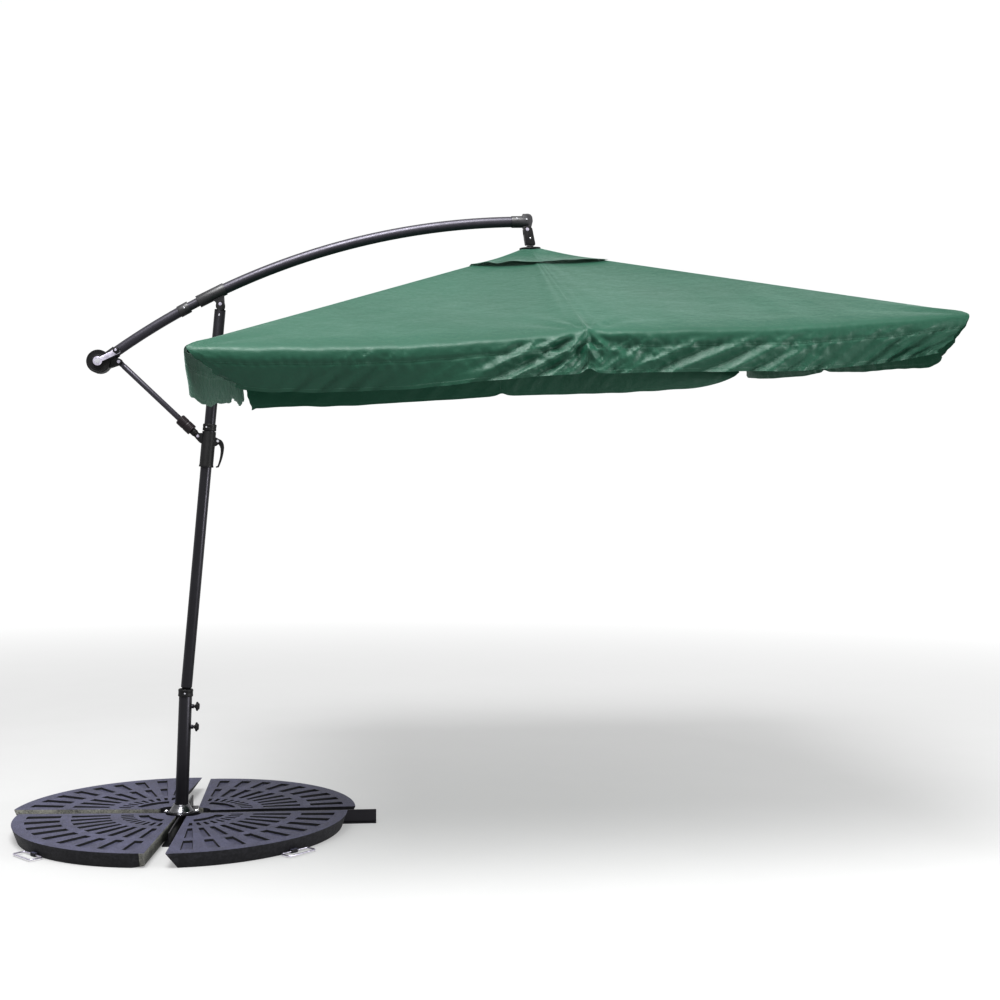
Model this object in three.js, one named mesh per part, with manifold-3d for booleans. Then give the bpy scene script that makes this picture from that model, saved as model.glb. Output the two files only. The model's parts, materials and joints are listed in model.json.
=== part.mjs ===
// A cantilever patio umbrella. A square canopy hangs from a curved arm, a leaning mast carries the arm,
// and four quarter-disc weights hold down the cross foot that the mast stands on.
// Millimetres, +Z up. The origin is on the ground under the mast, and +X points under the canopy.
import * as THREE from 'three';
import { mergeVertices } from 'three/addons/utils/BufferGeometryUtils.js';
import Module from 'manifold-3d';

const wasm = await Module();
wasm.setup();

// ---- driving dimensions -------------------------------------------------------------------------
const DEG = Math.PI / 180;
const GAP = 0.3;

// Foot: two inverted-T bars that cross, turned a little from the mast's plane.
const FOOT_YAW = 5 * DEG;
const TEE = { web: 6, height: 50, flange: 50, thick: 5 };
const LONG_BAR = { from: -300, to: 757 };
const CROSS_BAR = { from: -330, to: 330 };
const FLANGE = { side: 99, thick: 6 };
const SKIRT = { foot: 47, neck: 29.5, rim: 2.4, top: 87, bore: 26.8 };

// Weights: four equal quarter discs, laid loosely between the bars.
const WEIGHT = { radius: 615, hollow: 95, height: 55, draft: 20, undercut: 40, endDraft: 3 };
const WEIGHTS = [
  { name: 'back_right', x: 60, y: 14, turn: 2 },
  { name: 'back_left', x: -45, y: 45, turn: -4 },
  { name: 'front_left', x: -8, y: -22, turn: -3 },
  { name: 'front_right', x: 30, y: -31, turn: 0.4 },
];
const CARRY = { length: 130, reach: 54, wire: 6, inset: 8, height: 8, eye: 4.7 };
const LUG = { length: 24, width: 30, height: 15, inset: 5 };

// Mast: a lower tube, and an upper tube whose narrow end turns inside it.
const MAST_YAW = 6 * DEG;
const LOWER = { lean: 2.05 * DEG, base: 57, length: 473, radius: 25, bore: 23.5 };
const KNOB_STATIONS = [329.7, 409.8];
const KNOB_TIPS = [10.3, 14.5];
const KNOB = { stud: 4, neck: 7, radius: 14, seat: 36.5, top: 55 };
const BOSS = { radius: 8, bore: 4.7, top: 34 };
const MAST_COLLAR = { from: 449, radius: 28.5, bore: 25.4, lip: 18.5 };
const UPPER = { lean: 5.05 * DEG, kneeHeight: 500, radius: 21.25, bore: 19, spigot: 15.5, inside: 130 };
const KNEE_X = (UPPER.kneeHeight - LOWER.base) * Math.tan(LOWER.lean);
const TUBE_TOP = 1515;
const ARM_PIVOT = 1541;
const CLEVIS = { radius: 16, inner: 12.5, outer: 18.5 };

// Cross pins: the steel ones at the arm, the strut and the hanging link, and the thinner ones at the slider.
const PIN = { radius: 5, hole: 5.4 };
const THIN_PIN = { radius: 4, hole: 4.4 };

// Slider on the mast, the strut's lower pivot on it, and the squeeze lever.
const SLIDER = { from: 903, to: 1042, radius: 26.5, bore: 23.3 };
const STOP = { from: 1045, to: 1071, radius: 26 };
const STRUT_FOOT = { x: -41, s: 1020.3 };
const LEVER_PIVOT = { x: 37, s: 1008 };

// Strut: a steel tube from the winder, a plastic foot on the slider, and the collar over their joint.
const STRUT = { radius: 10.75, shoulder: 25, eye: 11, split: 332 };
const STRUT_COLLAR = { from: 318, to: 384, radius: 21.5, bore: 11.1, groove: 33 };

// Arm: every tube of it follows one circular arc.
const ARC = { x: 1402, z: -420, radius: 2803 };
const ARM_TUBE = { from: 112, to: 1338, radius: 20.75, bore: 18.9, room: 21.6 };
const LINK_TUBE = { from: 13, to: 104, radius: 17, bore: 14.5, room: 17.6 };
const TAIL_TUBE = { from: -270, to: 10, radius: 19.5, bore: 17.5, room: 20.2 };
const TAIL_COLLAR = { from: -7, to: 31, radius: 23 };
const TEE_SLEEVE = { from: 66, to: 168, radius: 24.5, webHalf: 11.8 };
const WINDER = { x: -311, z: 1806, radius: 45, half: 26 };
const STRUT_HEAD = { x: -236, z: 1807 };
const DRUM = { radius: 32, core: 18, axle: 7.5 };
const CRANK_TIP = { x: -236, z: 1845 };
const CRANK = { hub: 18, from: 32, to: 44, stub: 4 };
const HANG_PIN = { x: 1357.7, z: 2349.4 };
const ELBOW = { from: 1296, to: 1362, radius: 23.5, tongueHalf: 13.7 };
const LINK = { half: 19.5, foot: 2291 };

// Canopy: the apex, its yaw and its two tilts, and the square's size.
const APEX = { x: 1363, y: 143, z: 2273 };
const CANOPY_YAW = 6.6 * DEG;
const CANOPY_TILT_X = 3.74 * DEG;
const CANOPY_TILT_Y = -3.1 * DEG;
const CANOPY = { half: 1250, middle: 1200, rise: 384, valance: 170, cloth: 2, opening: 140, vent: 265 };
const HUB = { radius: 64, pivot: 52, height: 18, z: -48, slot: 6.4, slotFrom: 33, bore: 10.4 };
const CAP = { radius: 43, boss: 13, spindle: 10, top: 13.5 };
const VENT_CAP = { lift: 12, bore: 18 };
const RIB = { width: 12, height: 14, eye: 5, start: 18, drop: 14 };
const STRETCHER = { width: 9, height: 11, start: 16 };
const MIDDLE_RIB = { tip: { r: 1190, z: -392 }, joint: 500 };
const CORNER_RIB = { tip: { r: 1745, z: -397 }, joint: 489 };

// ---- materials ----------------------------------------------------------------------------------
function finish(color, roughness, metalness) {
  return new THREE.MeshStandardMaterial({ color, roughness, metalness });
}
const blackSteel = finish(0x2c2c2e, 0.42, 0.5);
const blackPlastic = finish(0x151516, 0.6, 0);
const zinc = finish(0xa59db2, 0.35, 1);
const brightSteel = finish(0xb8b8bc, 0.25, 1);
const resin = finish(0x393948, 0.8, 0);
const cloth = finish(0x2f6b53, 0.85, 0);

// ---- solids -------------------------------------------------------------------------------------
function solid(geometry) {
  const bare = geometry.clone();
  bare.deleteAttribute('normal');
  bare.deleteAttribute('uv');
  const merged = mergeVertices(bare, 1e-3);
  const vertProperties = new Float32Array(merged.attributes.position.array);
  const triVerts = new Uint32Array(merged.index.array);
  return new wasm.Manifold(new wasm.Mesh({ numProp: 3, vertProperties, triVerts }));
}

function geometryOf(manifold) {
  const mesh = manifold.getMesh();
  const geometry = new THREE.BufferGeometry();
  geometry.setAttribute('position', new THREE.BufferAttribute(mesh.vertProperties, 3));
  geometry.setIndex(new THREE.BufferAttribute(mesh.triVerts, 1));
  geometry.computeVertexNormals();
  return geometry;
}

function join(...shapes) {
  return geometryOf(shapes.map(solid).reduce((whole, next) => whole.add(next)));
}

function cut(base, ...tools) {
  return geometryOf(tools.map(solid).reduce((whole, next) => whole.subtract(next), solid(base)));
}

// A body turned about +Z. The points are [radius, height], up the outside and down the inside.
function turned(points, sides = 16) {
  const profile = points.map(([r, z]) => new THREE.Vector2(r, z));
  return new THREE.LatheGeometry(profile, sides).rotateX(Math.PI / 2);
}

function rod(radius, from, to, sides = 16) {
  return turned([[0, from], [radius, from], [radius, to], [0, to]], sides);
}

function ring(outer, inner, from, to, sides = 16) {
  return turned([[inner, from], [outer, from], [outer, to], [inner, to], [inner, from]], sides);
}

// Turns a body made along +Z to lie along -Y, the side that the crank is on.
function crosswise(geometry) {
  return geometry.rotateX(Math.PI / 2);
}

// A cross pin or its hole: a rod along Y at x, z.
function crossRod(radius, half, x, z, sides = 12) {
  return crosswise(rod(radius, -half, half, sides)).translate(x, 0, z);
}

function block(x, y, z, cx, cy, cz) {
  return new THREE.BoxGeometry(x, y, z).translate(cx, cy, cz);
}

function pathOf(points) {
  return new THREE.Path(points.map(([x, y]) => new THREE.Vector2(x, y)));
}

function polygon(points) {
  return new THREE.Shape(points.map(([x, y]) => new THREE.Vector2(x, y)));
}

// A plate whose outline lies in the XZ plane, from y = low to y = high.
function sidePlate(outline, low, high) {
  const depth = high - low;
  const flat = new THREE.ExtrudeGeometry(outline, { depth, bevelEnabled: false, curveSegments: 6 });
  return flat.rotateX(Math.PI / 2).translate(0, high, 0);
}

// Two equal plates, one on each side of the XZ plane.
function pairOfPlates(outline, inner, outer) {
  return [sidePlate(outline, -outer, -inner), sidePlate(outline, inner, outer)];
}

function circlePoints(radius, sides) {
  return Array.from({ length: sides }, (_, i) => {
    const angle = (i * 2 * Math.PI) / sides;
    return [radius * Math.cos(angle), radius * Math.sin(angle)];
  });
}

// An outline round two circles, as a belt lies round two pulleys.
function beltOutline(a, b, steps = 6) {
  const heading = Math.atan2(b.z - a.z, b.x - a.x);
  const spread = Math.acos((a.r - b.r) / Math.hypot(b.x - a.x, b.z - a.z));
  const points = [];
  for (let i = 0; i <= steps; i++) {
    const angle = heading + spread + ((2 * Math.PI - 2 * spread) * i) / steps;
    points.push([a.x + a.r * Math.cos(angle), a.z + a.r * Math.sin(angle)]);
  }
  for (let i = 0; i <= steps; i++) {
    const angle = heading - spread + (2 * spread * i) / steps;
    points.push([b.x + b.r * Math.cos(angle), b.z + b.r * Math.sin(angle)]);
  }
  return polygon(points);
}

// The arm's arc between two x positions, in the mast's plane.
class ArmArc extends THREE.Curve {
  constructor(from, to) {
    super();
    this.start = Math.acos((from - ARC.x) / ARC.radius);
    this.end = Math.acos((to - ARC.x) / ARC.radius);
  }

  getPoint(t, target = new THREE.Vector3()) {
    const angle = THREE.MathUtils.lerp(this.start, this.end, t);
    return target.set(ARC.x + ARC.radius * Math.cos(angle), 0, ARC.z + ARC.radius * Math.sin(angle));
  }
}

function arcHeight(x) {
  return ARC.z + Math.sqrt(ARC.radius ** 2 - (x - ARC.x) ** 2);
}

function curvedRod(from, to, outer, inner = 0, steps = 2, sides = 16) {
  const outline = polygon(circlePoints(outer, sides));
  if (inner) outline.holes.push(pathOf(circlePoints(inner, sides)));
  return new THREE.ExtrudeGeometry(outline, { steps, extrudePath: new ArmArc(from, to) });
}

// ---- scene graph --------------------------------------------------------------------------------
function frame(parent, x, y, z) {
  const group = new THREE.Group();
  group.position.set(x, y, z);
  parent.add(group);
  return group;
}

function piece(name, parent, geometry, material) {
  const mesh = new THREE.Mesh(geometry, material);
  mesh.name = name;
  parent.add(mesh);
  return mesh;
}

// Marks a joint: an empty object on the joint's axis.
function pivot(name, parent, x, y, z, axis) {
  const marker = new THREE.Object3D();
  marker.name = name;
  marker.position.set(x, y, z);
  marker.userData.axis = axis;
  parent.add(marker);
}

const umbrella = new THREE.Group();
const foot = frame(umbrella, 0, 0, 0);
foot.rotation.z = FOOT_YAW;
const mastPlane = frame(umbrella, 0, 0, 0);
mastPlane.rotation.z = MAST_YAW;
const lowerMast = frame(mastPlane, 0, 0, LOWER.base);
lowerMast.rotation.y = LOWER.lean;
const upperMast = frame(mastPlane, KNEE_X, 0, UPPER.kneeHeight);
upperMast.rotation.y = UPPER.lean;

// ---- foot and weights ---------------------------------------------------------------------------
function teeBar({ from, to }) {
  const edge = TEE.flange / 2;
  const web = TEE.web / 2;
  const outline = polygon([
    [-edge, 0], [edge, 0], [edge, TEE.thick], [web, TEE.thick],
    [web, TEE.height], [-web, TEE.height], [-web, TEE.thick], [-edge, TEE.thick],
  ]);
  const bar = new THREE.ExtrudeGeometry(outline, { depth: to - from, bevelEnabled: false });
  return bar.rotateX(Math.PI / 2).rotateZ(Math.PI / 2).translate(from, 0, 0);
}

// The bars halve into each other: the long one gives way above, the cross one below.
function makeBars() {
  const half = TEE.height / 2;
  const slot = TEE.web + 2 * GAP;
  const upperNotch = block(slot, TEE.flange, 2 * half, 0, 0, 2 * half);
  piece('foot_bar_long', foot, cut(teeBar(LONG_BAR), upperNotch), blackSteel);
  const webNotch = block(slot, TEE.flange + 2, 2 * (half + GAP), 0, 0, 0);
  const flangeNotch = block(TEE.flange + 2 * GAP, TEE.flange + 2, 2 * (TEE.thick + GAP), 0, 0, 0);
  const crossBar = cut(teeBar(CROSS_BAR), webNotch, flangeNotch).rotateZ(Math.PI / 2);
  piece('foot_bar_cross', foot, crossBar, blackSteel);
}

// The room that both bars' ground flanges need under the weights.
function flangeRoom({ from, to }) {
  const margin = 1;
  const width = TEE.flange + 2 * margin;
  return block(to - from + 2 * margin, width, 2 * (TEE.thick + margin), (from + to) / 2, 0, 0);
}

function quarterOutline() {
  const points = [];
  const rimSteps = 16;
  const hollowSteps = 6;
  for (let i = 0; i <= rimSteps; i++) {
    const angle = (Math.PI / 2) * (i / rimSteps);
    points.push([WEIGHT.radius * Math.cos(angle), WEIGHT.radius * Math.sin(angle)]);
  }
  for (let i = hollowSteps; i >= 0; i--) {
    const angle = (Math.PI / 2) * (i / hollowSteps);
    points.push([WEIGHT.hollow * Math.cos(angle), WEIGHT.hollow * Math.sin(angle)]);
  }
  return polygon(points);
}

// Draws the lower outline in: the rim by its draft, one straight side by the undercut.
function drawIn(geometry) {
  const position = geometry.attributes.position;
  for (let i = 0; i < position.count; i++) {
    if (position.getZ(i) > WEIGHT.height / 2) continue;
    let x = position.getX(i);
    let y = position.getY(i);
    const radius = Math.hypot(x, y);
    if (radius > WEIGHT.radius - 1) {
      x *= 1 - WEIGHT.draft / radius;
      y *= 1 - WEIGHT.draft / radius;
    }
    position.setXY(i, Math.max(x, WEIGHT.endDraft), Math.max(y, WEIGHT.undercut));
  }
  return geometry;
}

// Puts a shape made along the plate's own +X at the middle of its rim.
function toMiddleOfRim(geometry) {
  return geometry.rotateZ(Math.PI / 4);
}

function makeWeight({ name, x, y, turn }, quadrant) {
  const place = frame(foot, x, y, 0);
  place.rotation.z = (90 * quadrant + turn) * DEG;
  const upright = new THREE.ExtrudeGeometry(quarterOutline(), { depth: WEIGHT.height, bevelEnabled: false });
  const plate = drawIn(upright);
  const axis = WEIGHT.radius - CARRY.inset;
  const lugMiddle = LUG.height / 2 + 1;
  const lug = toMiddleOfRim(block(LUG.length, LUG.width, LUG.height, axis - LUG.inset, 0, lugMiddle));
  const eye = toMiddleOfRim(crossRod(CARRY.eye, LUG.width, axis, CARRY.height));
  place.updateMatrixWorld(true);
  const fromFoot = place.matrix.clone().invert();
  const longRoom = flangeRoom(LONG_BAR).applyMatrix4(fromFoot);
  const crossRoom = flangeRoom(CROSS_BAR).rotateZ(Math.PI / 2).applyMatrix4(fromFoot);
  piece(`weight_${name}`, place, cut(join(plate, lug), eye, longRoom, crossRoom), resin);
  makeCarryHandle(name, place, axis);
}

// A flat ring of wire whose inner bar turns in the weight's eye.
function makeCarryHandle(name, place, axis) {
  const half = CARRY.length / 2;
  const inner = axis - CARRY.wire / 2;
  const outer = inner + CARRY.reach;
  const outline = polygon([[inner, -half], [outer, -half], [outer, half], [inner, half]]);
  const w = CARRY.wire;
  outline.holes.push(pathOf([
    [inner + w, w - half], [inner + w, half - w], [outer - w, half - w], [outer - w, w - half],
  ]));
  const loop = new THREE.ExtrudeGeometry(outline, { depth: w, bevelEnabled: false });
  piece(`carry_handle_${name}`, place, toMiddleOfRim(loop.translate(0, 0, CARRY.height - w / 2)), zinc);
  const middle = axis * Math.SQRT1_2;
  pivot(`carry_${name}`, place, middle, middle, CARRY.height, [Math.SQRT1_2, -Math.SQRT1_2, 0]);
}

// ---- mast ---------------------------------------------------------------------------------------
function makeLowerMast() {
  const plate = new THREE.BoxGeometry(FLANGE.side, FLANGE.side, FLANGE.thick).rotateZ(Math.PI / 4);
  piece('mast_flange', foot, plate.translate(0, 0, TEE.height + GAP + FLANGE.thick / 2), blackSteel);
  const floor = TEE.height + FLANGE.thick + 2 * GAP;
  const inside = [SKIRT.foot - 4, floor];
  const skirt = [
    inside, [SKIRT.foot, floor], [SKIRT.foot, floor + SKIRT.rim], [SKIRT.neck, SKIRT.top],
    [SKIRT.bore, SKIRT.top], [SKIRT.bore, SKIRT.top - 3], inside,
  ];
  piece('mast_skirt', mastPlane, turned(skirt), brightSteel);

  const bosses = KNOB_STATIONS.map((s) => sideways(BOSS.radius, LOWER.radius - 3, BOSS.top, s));
  const bores = KNOB_STATIONS.map((s) => sideways(BOSS.bore, LOWER.radius - 10, BOSS.top + 6, s));
  const tube = ring(LOWER.radius, LOWER.bore, 1, LOWER.length);
  piece('lower_mast', lowerMast, cut(join(tube, ...bosses), cutCore(), ...bores), blackSteel);

  const top = LOWER.length + GAP;
  const { from, radius, bore, lip } = MAST_COLLAR;
  const collar = [
    [bore, from], [radius, from], [radius, top + 2], [radius - 2, top + 4], [lip, top + 4], [lip, top],
    [bore, top], [bore, from],
  ];
  piece('mast_collar', lowerMast, turned(collar), blackPlastic);
  KNOB_STATIONS.forEach(makeKnob);
}

// A rod along +X at the height s: a clamp knob's boss or its hole.
function sideways(radius, from, to, s) {
  return rod(radius, from, to, 12).rotateY(Math.PI / 2).translate(0, 0, s);
}

// Clears the bosses out of the lower tube's bore.
function cutCore() {
  return rod(LOWER.bore, -10, LOWER.length + 10);
}

function makeKnob(s, index) {
  const { stud, neck, radius, seat, top } = KNOB;
  const head = [
    [stud, seat], [neck, seat], [neck, seat + 3.5], [radius, seat + 6.5], [radius, top - 3],
    [radius - 4, top], [0, top],
  ];
  const knob = turned([[0, KNOB_TIPS[index]], [stud, KNOB_TIPS[index]], ...head]).rotateY(Math.PI / 2);
  const name = ['lower', 'upper'][index];
  piece(`clamp_knob_${name}`, lowerMast, knob.translate(0, 0, s), blackPlastic);
  pivot(`knob_${name}`, lowerMast, seat, 0, s, [1, 0, 0]);
}

function makeUpperMast() {
  const { radius, bore, spigot, inside } = UPPER;
  const wall = 2.5;
  const tube = [
    [spigot - wall, -inside], [spigot, -inside], [spigot, 36], [radius, 42],
    [radius, TUBE_TOP], [bore, TUBE_TOP], [bore, 44], [spigot - wall, 38],
  ];
  piece('upper_mast', upperMast, turned([...tube, tube[0]]), blackSteel);
  piece('slider_stop', upperMast, ring(STOP.radius, radius + 0.35, STOP.from, STOP.to), blackPlastic);

  const plug = rod(bore - GAP, 1470, TUBE_TOP + 1);
  const cap = rod(radius, TUBE_TOP + GAP, TUBE_TOP + 5);
  const eye = { x: 0, z: ARM_PIVOT, r: CLEVIS.radius };
  const root = { x: 0, z: TUBE_TOP + 17.5, r: CLEVIS.radius + 0.5 };
  const ears = pairOfPlates(beltOutline(eye, root), CLEVIS.inner, CLEVIS.outer);
  const clevis = cut(join(plug, cap, ...ears), crossRod(PIN.hole, 30, 0, ARM_PIVOT));
  piece('mast_clevis', upperMast, clevis, blackPlastic);
  piece('arm_pivot_bolt', upperMast, crossRod(PIN.radius, 21, 0, ARM_PIVOT), zinc);
  pivot('mast_swivel', upperMast, 0, 0, 0, [0, 0, 1]);
}

// ---- slider, strut and squeeze lever ------------------------------------------------------------
function makeSlider() {
  const { from, to, radius, bore } = SLIDER;
  const lip = 7;
  const shell = turned([
    [bore, from], [radius + 1.5, from], [radius + 1.5, from + lip], [radius, from + lip],
    [radius, to], [bore, to], [bore, from],
  ]);
  const strutEye = { x: STRUT_FOOT.x, z: STRUT_FOOT.s, r: 12 };
  const leverEye = { x: LEVER_PIVOT.x, z: LEVER_PIVOT.s, r: 9 };
  const strutEar = beltOutline({ x: -18, z: STRUT_FOOT.s - 8, r: 22 }, strutEye);
  const leverEar = beltOutline({ x: 18, z: LEVER_PIVOT.s - 4, r: 20 }, leverEye);
  const strutEars = pairOfPlates(strutEar, 7, 11.5);
  const leverEars = pairOfPlates(leverEar, 7.5, 11);
  const holes = [
    rod(bore, from - 10, to + 30),
    crossRod(THIN_PIN.hole, 30, STRUT_FOOT.x, STRUT_FOOT.s),
    crossRod(THIN_PIN.hole, 30, LEVER_PIVOT.x, LEVER_PIVOT.s),
  ];
  piece('slider', upperMast, cut(join(shell, ...strutEars, ...leverEars), ...holes), blackPlastic);
  const pin = crossRod(THIN_PIN.radius, 13.5, STRUT_FOOT.x, STRUT_FOOT.s);
  piece('strut_foot_pin', upperMast, pin, zinc);
  pivot('slider_ride', upperMast, STRUT_FOOT.x, 0, STRUT_FOOT.s, [0, -1, 0]);
}

// A D-shaped lever: a boss at the top, a bowed grip, and a hook that comes back towards the slider.
function makeLever() {
  const { x, s } = LEVER_PIVOT;
  const outline = new THREE.Shape();
  outline.moveTo(x - 6, s + 8);
  outline.quadraticCurveTo(x + 20, s + 12, x + 25, s - 22);
  outline.quadraticCurveTo(x + 26, s - 62, x + 11, s - 102);
  outline.lineTo(x + 1, s - 104);
  outline.lineTo(x + 1, s - 99);
  outline.lineTo(x + 7, s - 97);
  outline.quadraticCurveTo(x + 17, s - 60, x + 13, s - 30);
  outline.quadraticCurveTo(x + 9, s - 12, x - 6, s - 7);
  const lever = sidePlate(outline, -7, 7);
  piece('squeeze_lever', upperMast, cut(lever, crossRod(THIN_PIN.hole, 30, x, s)), blackPlastic);
  pivot('lever_squeeze', upperMast, x, 0, s, [0, 1, 0]);
}

function strutFrame() {
  const footX = KNEE_X + STRUT_FOOT.x * Math.cos(UPPER.lean) + STRUT_FOOT.s * Math.sin(UPPER.lean);
  const footZ = UPPER.kneeHeight - STRUT_FOOT.x * Math.sin(UPPER.lean) + STRUT_FOOT.s * Math.cos(UPPER.lean);
  const dx = footX - STRUT_HEAD.x;
  const dz = footZ - STRUT_HEAD.z;
  const group = frame(mastPlane, STRUT_HEAD.x, 0, STRUT_HEAD.z);
  group.rotation.y = Math.atan2(dx, dz);
  return { group, length: Math.hypot(dx, dz) };
}

function makeStrut() {
  const { group, length } = strutFrame();
  const { radius, shoulder, eye, split } = STRUT;
  const { from, to, radius: outer, bore, groove } = STRUT_COLLAR;
  const headEye = sidePlate(beltOutline({ x: 0, z: 0, r: eye }, { x: 0, z: shoulder + 6, r: 9 }), -5, 5);
  const tube = rod(radius, shoulder, split);
  piece('strut_tube', group, cut(join(headEye, tube), crossRod(PIN.hole, 30, 0, 0)), blackSteel);
  const footBelt = beltOutline({ x: 0, z: length, r: eye }, { x: 0, z: to + 8, r: 12 });
  const footEye = sidePlate(footBelt, -6.5, 6.5);
  const stem = rod(radius - 0.25, split + GAP, to + 4);
  const pinHole = crossRod(THIN_PIN.hole, 30, 0, length);
  piece('strut_foot', group, cut(join(stem, footEye), pinHole), blackPlastic);
  const collar = turned([
    [bore, from], [outer - 2.5, from], [outer, from + 3], [outer, from + groove - 2],
    [outer - 1.5, from + groove - 1], [outer - 1.5, from + groove + 1], [outer, from + groove + 2],
    [outer, to - 3], [outer - 3.5, to], [bore, to], [bore, from],
  ]);
  piece('strut_collar', group, collar, blackPlastic);
}

// ---- arm ----------------------------------------------------------------------------------------
// The tee's web, from the sleeve down to a round end about the arm's pivot at x, z.
function teeWeb(x, z) {
  const end = [[-15, 3], [-13.5, -8], [-7, -14], [0, -15.5], [7, -14], [13.5, -8], [15, 3]];
  const left = 116;
  const right = 164;
  return polygon([
    [left, arcHeight(left) - 12], [129, z + 12], ...end.map(([dx, dz]) => [x + dx, z + dz]),
    [right, arcHeight(right) - 12],
  ]);
}

function makeArm() {
  const x = KNEE_X + ARM_PIVOT * Math.sin(UPPER.lean);
  const z = UPPER.kneeHeight + ARM_PIVOT * Math.cos(UPPER.lean);
  const { from, to, radius, webHalf } = TEE_SLEEVE;
  const tee = cut(
    join(curvedRod(from, to, radius), sidePlate(teeWeb(x, z), -webHalf, webHalf)),
    curvedRod(ARM_TUBE.from - 5, to + 32, ARM_TUBE.room),
    curvedRod(from - 26, ARM_TUBE.from - 2, LINK_TUBE.room),
    crossRod(PIN.hole, 30, x, z),
  );
  piece('arm_tee', mastPlane, tee, blackPlastic);
  makeArmTube('arm_tube', ARM_TUBE, 14);
  makeArmTube('link_tube', LINK_TUBE, 2);
  makeArmTube('tail_tube', TAIL_TUBE, 6);
  const collar = cut(
    curvedRod(TAIL_COLLAR.from, TAIL_COLLAR.to, TAIL_COLLAR.radius),
    curvedRod(TAIL_COLLAR.from - 13, TAIL_TUBE.to + 2, TAIL_TUBE.room),
    curvedRod(TAIL_TUBE.to - 2, TAIL_COLLAR.to + 19, LINK_TUBE.room),
  );
  piece('tail_collar', mastPlane, collar, blackPlastic);
  pivot('arm_tilt', mastPlane, x, 0, z, [0, -1, 0]);
  pivot('strut_swing', mastPlane, STRUT_HEAD.x, 0, STRUT_HEAD.z, [0, -1, 0]);
}

function makeArmTube(name, { from, to, radius, bore }, steps) {
  piece(name, mastPlane, curvedRod(from, to, radius, bore, steps), blackSteel);
}

// The winder's housing: a cup open on the crank's side, a socket for the tail tube and ears for the strut.
function makeWinder() {
  const { x, z, radius, half } = WINDER;
  const body = crosswise(rod(radius, -half, half, 24)).translate(x, 0, z);
  const lugs = sidePlate(beltOutline({ x, z, r: 36 }, { ...STRUT_HEAD, r: 12 }), -14, 14);
  const socket = curvedRod(-312, -246, 23, 0, 2);
  const cavity = crosswise(rod(36, -20, half + 5, 24)).translate(x, 0, z);
  const slot = block(52, 11.2, 44, STRUT_HEAD.x, 0, STRUT_HEAD.z - 8);
  const cordHole = 8;
  const housing = cut(
    join(body, lugs, socket),
    cavity,
    slot,
    curvedRod(TAIL_TUBE.from - 5, -200, TAIL_TUBE.room - 0.1),
    curvedRod(-300, TAIL_TUBE.from + 5, cordHole),
    crossRod(DRUM.axle + 0.5, 40, x, z),
    crossRod(PIN.hole, 40, STRUT_HEAD.x, STRUT_HEAD.z),
  );
  piece('winder_housing', mastPlane, housing, blackPlastic);
  const cover = ring(radius, 9, half + GAP, half + 3.3, 24);
  piece('winder_cover', mastPlane, crosswise(cover).translate(x, 0, z), blackPlastic);
  piece('strut_head_pin', mastPlane, crossRod(PIN.radius, 17, STRUT_HEAD.x, STRUT_HEAD.z), zinc);
}

function makeCrank() {
  const { x, z } = WINDER;
  const { radius, core, axle } = DRUM;
  const drum = crosswise(turned([
    [0, -25], [axle, -25], [axle, -18], [radius, -18], [radius, -15], [core, -15], [core, 20],
    [radius, 20], [radius, 23], [axle, 23], [axle, 45], [0, 45],
  ])).translate(x, 0, z);
  piece('winder_drum', mastPlane, drum, zinc);

  const { hub, from, to, stub } = CRANK;
  const boss = crosswise(rod(hub, from, to)).translate(x, 0, z);
  const bar = sidePlate(beltOutline({ x, z, r: 9 }, { ...CRANK_TIP, r: 11 }), 1 - to, 8 - to);
  const pin = crosswise(rod(stub, to - 6, 86, 12)).translate(CRANK_TIP.x, 0, CRANK_TIP.z);
  piece('crank_arm', mastPlane, cut(join(boss, bar, pin), crossRod(axle + 0.3, 60, x, z, 24)), zinc);
  const bore = stub + 0.4;
  const grip = turned([[bore, 45], [9, 45], [11.5, 52], [12, 75], [9.5, 84], [bore, 84], [bore, 45]]);
  piece('crank_grip', mastPlane, crosswise(grip).translate(CRANK_TIP.x, 0, CRANK_TIP.z), blackPlastic);
  pivot('crank_turn', mastPlane, x, 0, z, [0, -1, 0]);
  pivot('grip_spin', mastPlane, CRANK_TIP.x, -60, CRANK_TIP.z, [0, -1, 0]);
}

// The elbow takes the arm's end, and its tongue holds the link that the canopy hangs from.
function makeElbow() {
  const { x, z } = HANG_PIN;
  const { from, to, radius, tongueHalf } = ELBOW;
  const under = [[-14, 4], [-12, -7], [-6, -13], [1, -14.5], [8, -12], [13, -6], [15, 4]];
  const corner = polygon([
    [ARM_TUBE.to, 2368], ...under.map(([dx, dz]) => [x + dx, z + dz]),
    [1380, 2384], [1378, 2400], [1372, 2409], [1362, 2413], [1340, 2412],
  ]);
  const elbow = cut(
    join(curvedRod(from, to, radius), sidePlate(corner, -tongueHalf, tongueHalf)),
    curvedRod(from - 16, ARM_TUBE.to + 2, ARM_TUBE.room),
    crossRod(PIN.hole, 30, x, z),
  );
  piece('elbow', mastPlane, elbow, blackPlastic);

  const top = [[-15, 2], [-12, 10], [-4, 14], [7, 14], [15, 10], [20, 2]];
  const cheek = polygon([...top.map(([dx, dz]) => [x + dx, z + dz]), [1390, LINK.foot], [1352, LINK.foot]]);
  const tongueRoom = block(60, 2 * tongueHalf + 1, 60, x, 0, LINK.foot + 70);
  const link = cut(sidePlate(cheek, -LINK.half, LINK.half), tongueRoom, crossRod(PIN.hole, 30, x, z));
  piece('hang_link', mastPlane, link, blackPlastic);
  pivot('canopy_hang', mastPlane, x, 0, z, [0, -1, 0]);
}

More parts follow.
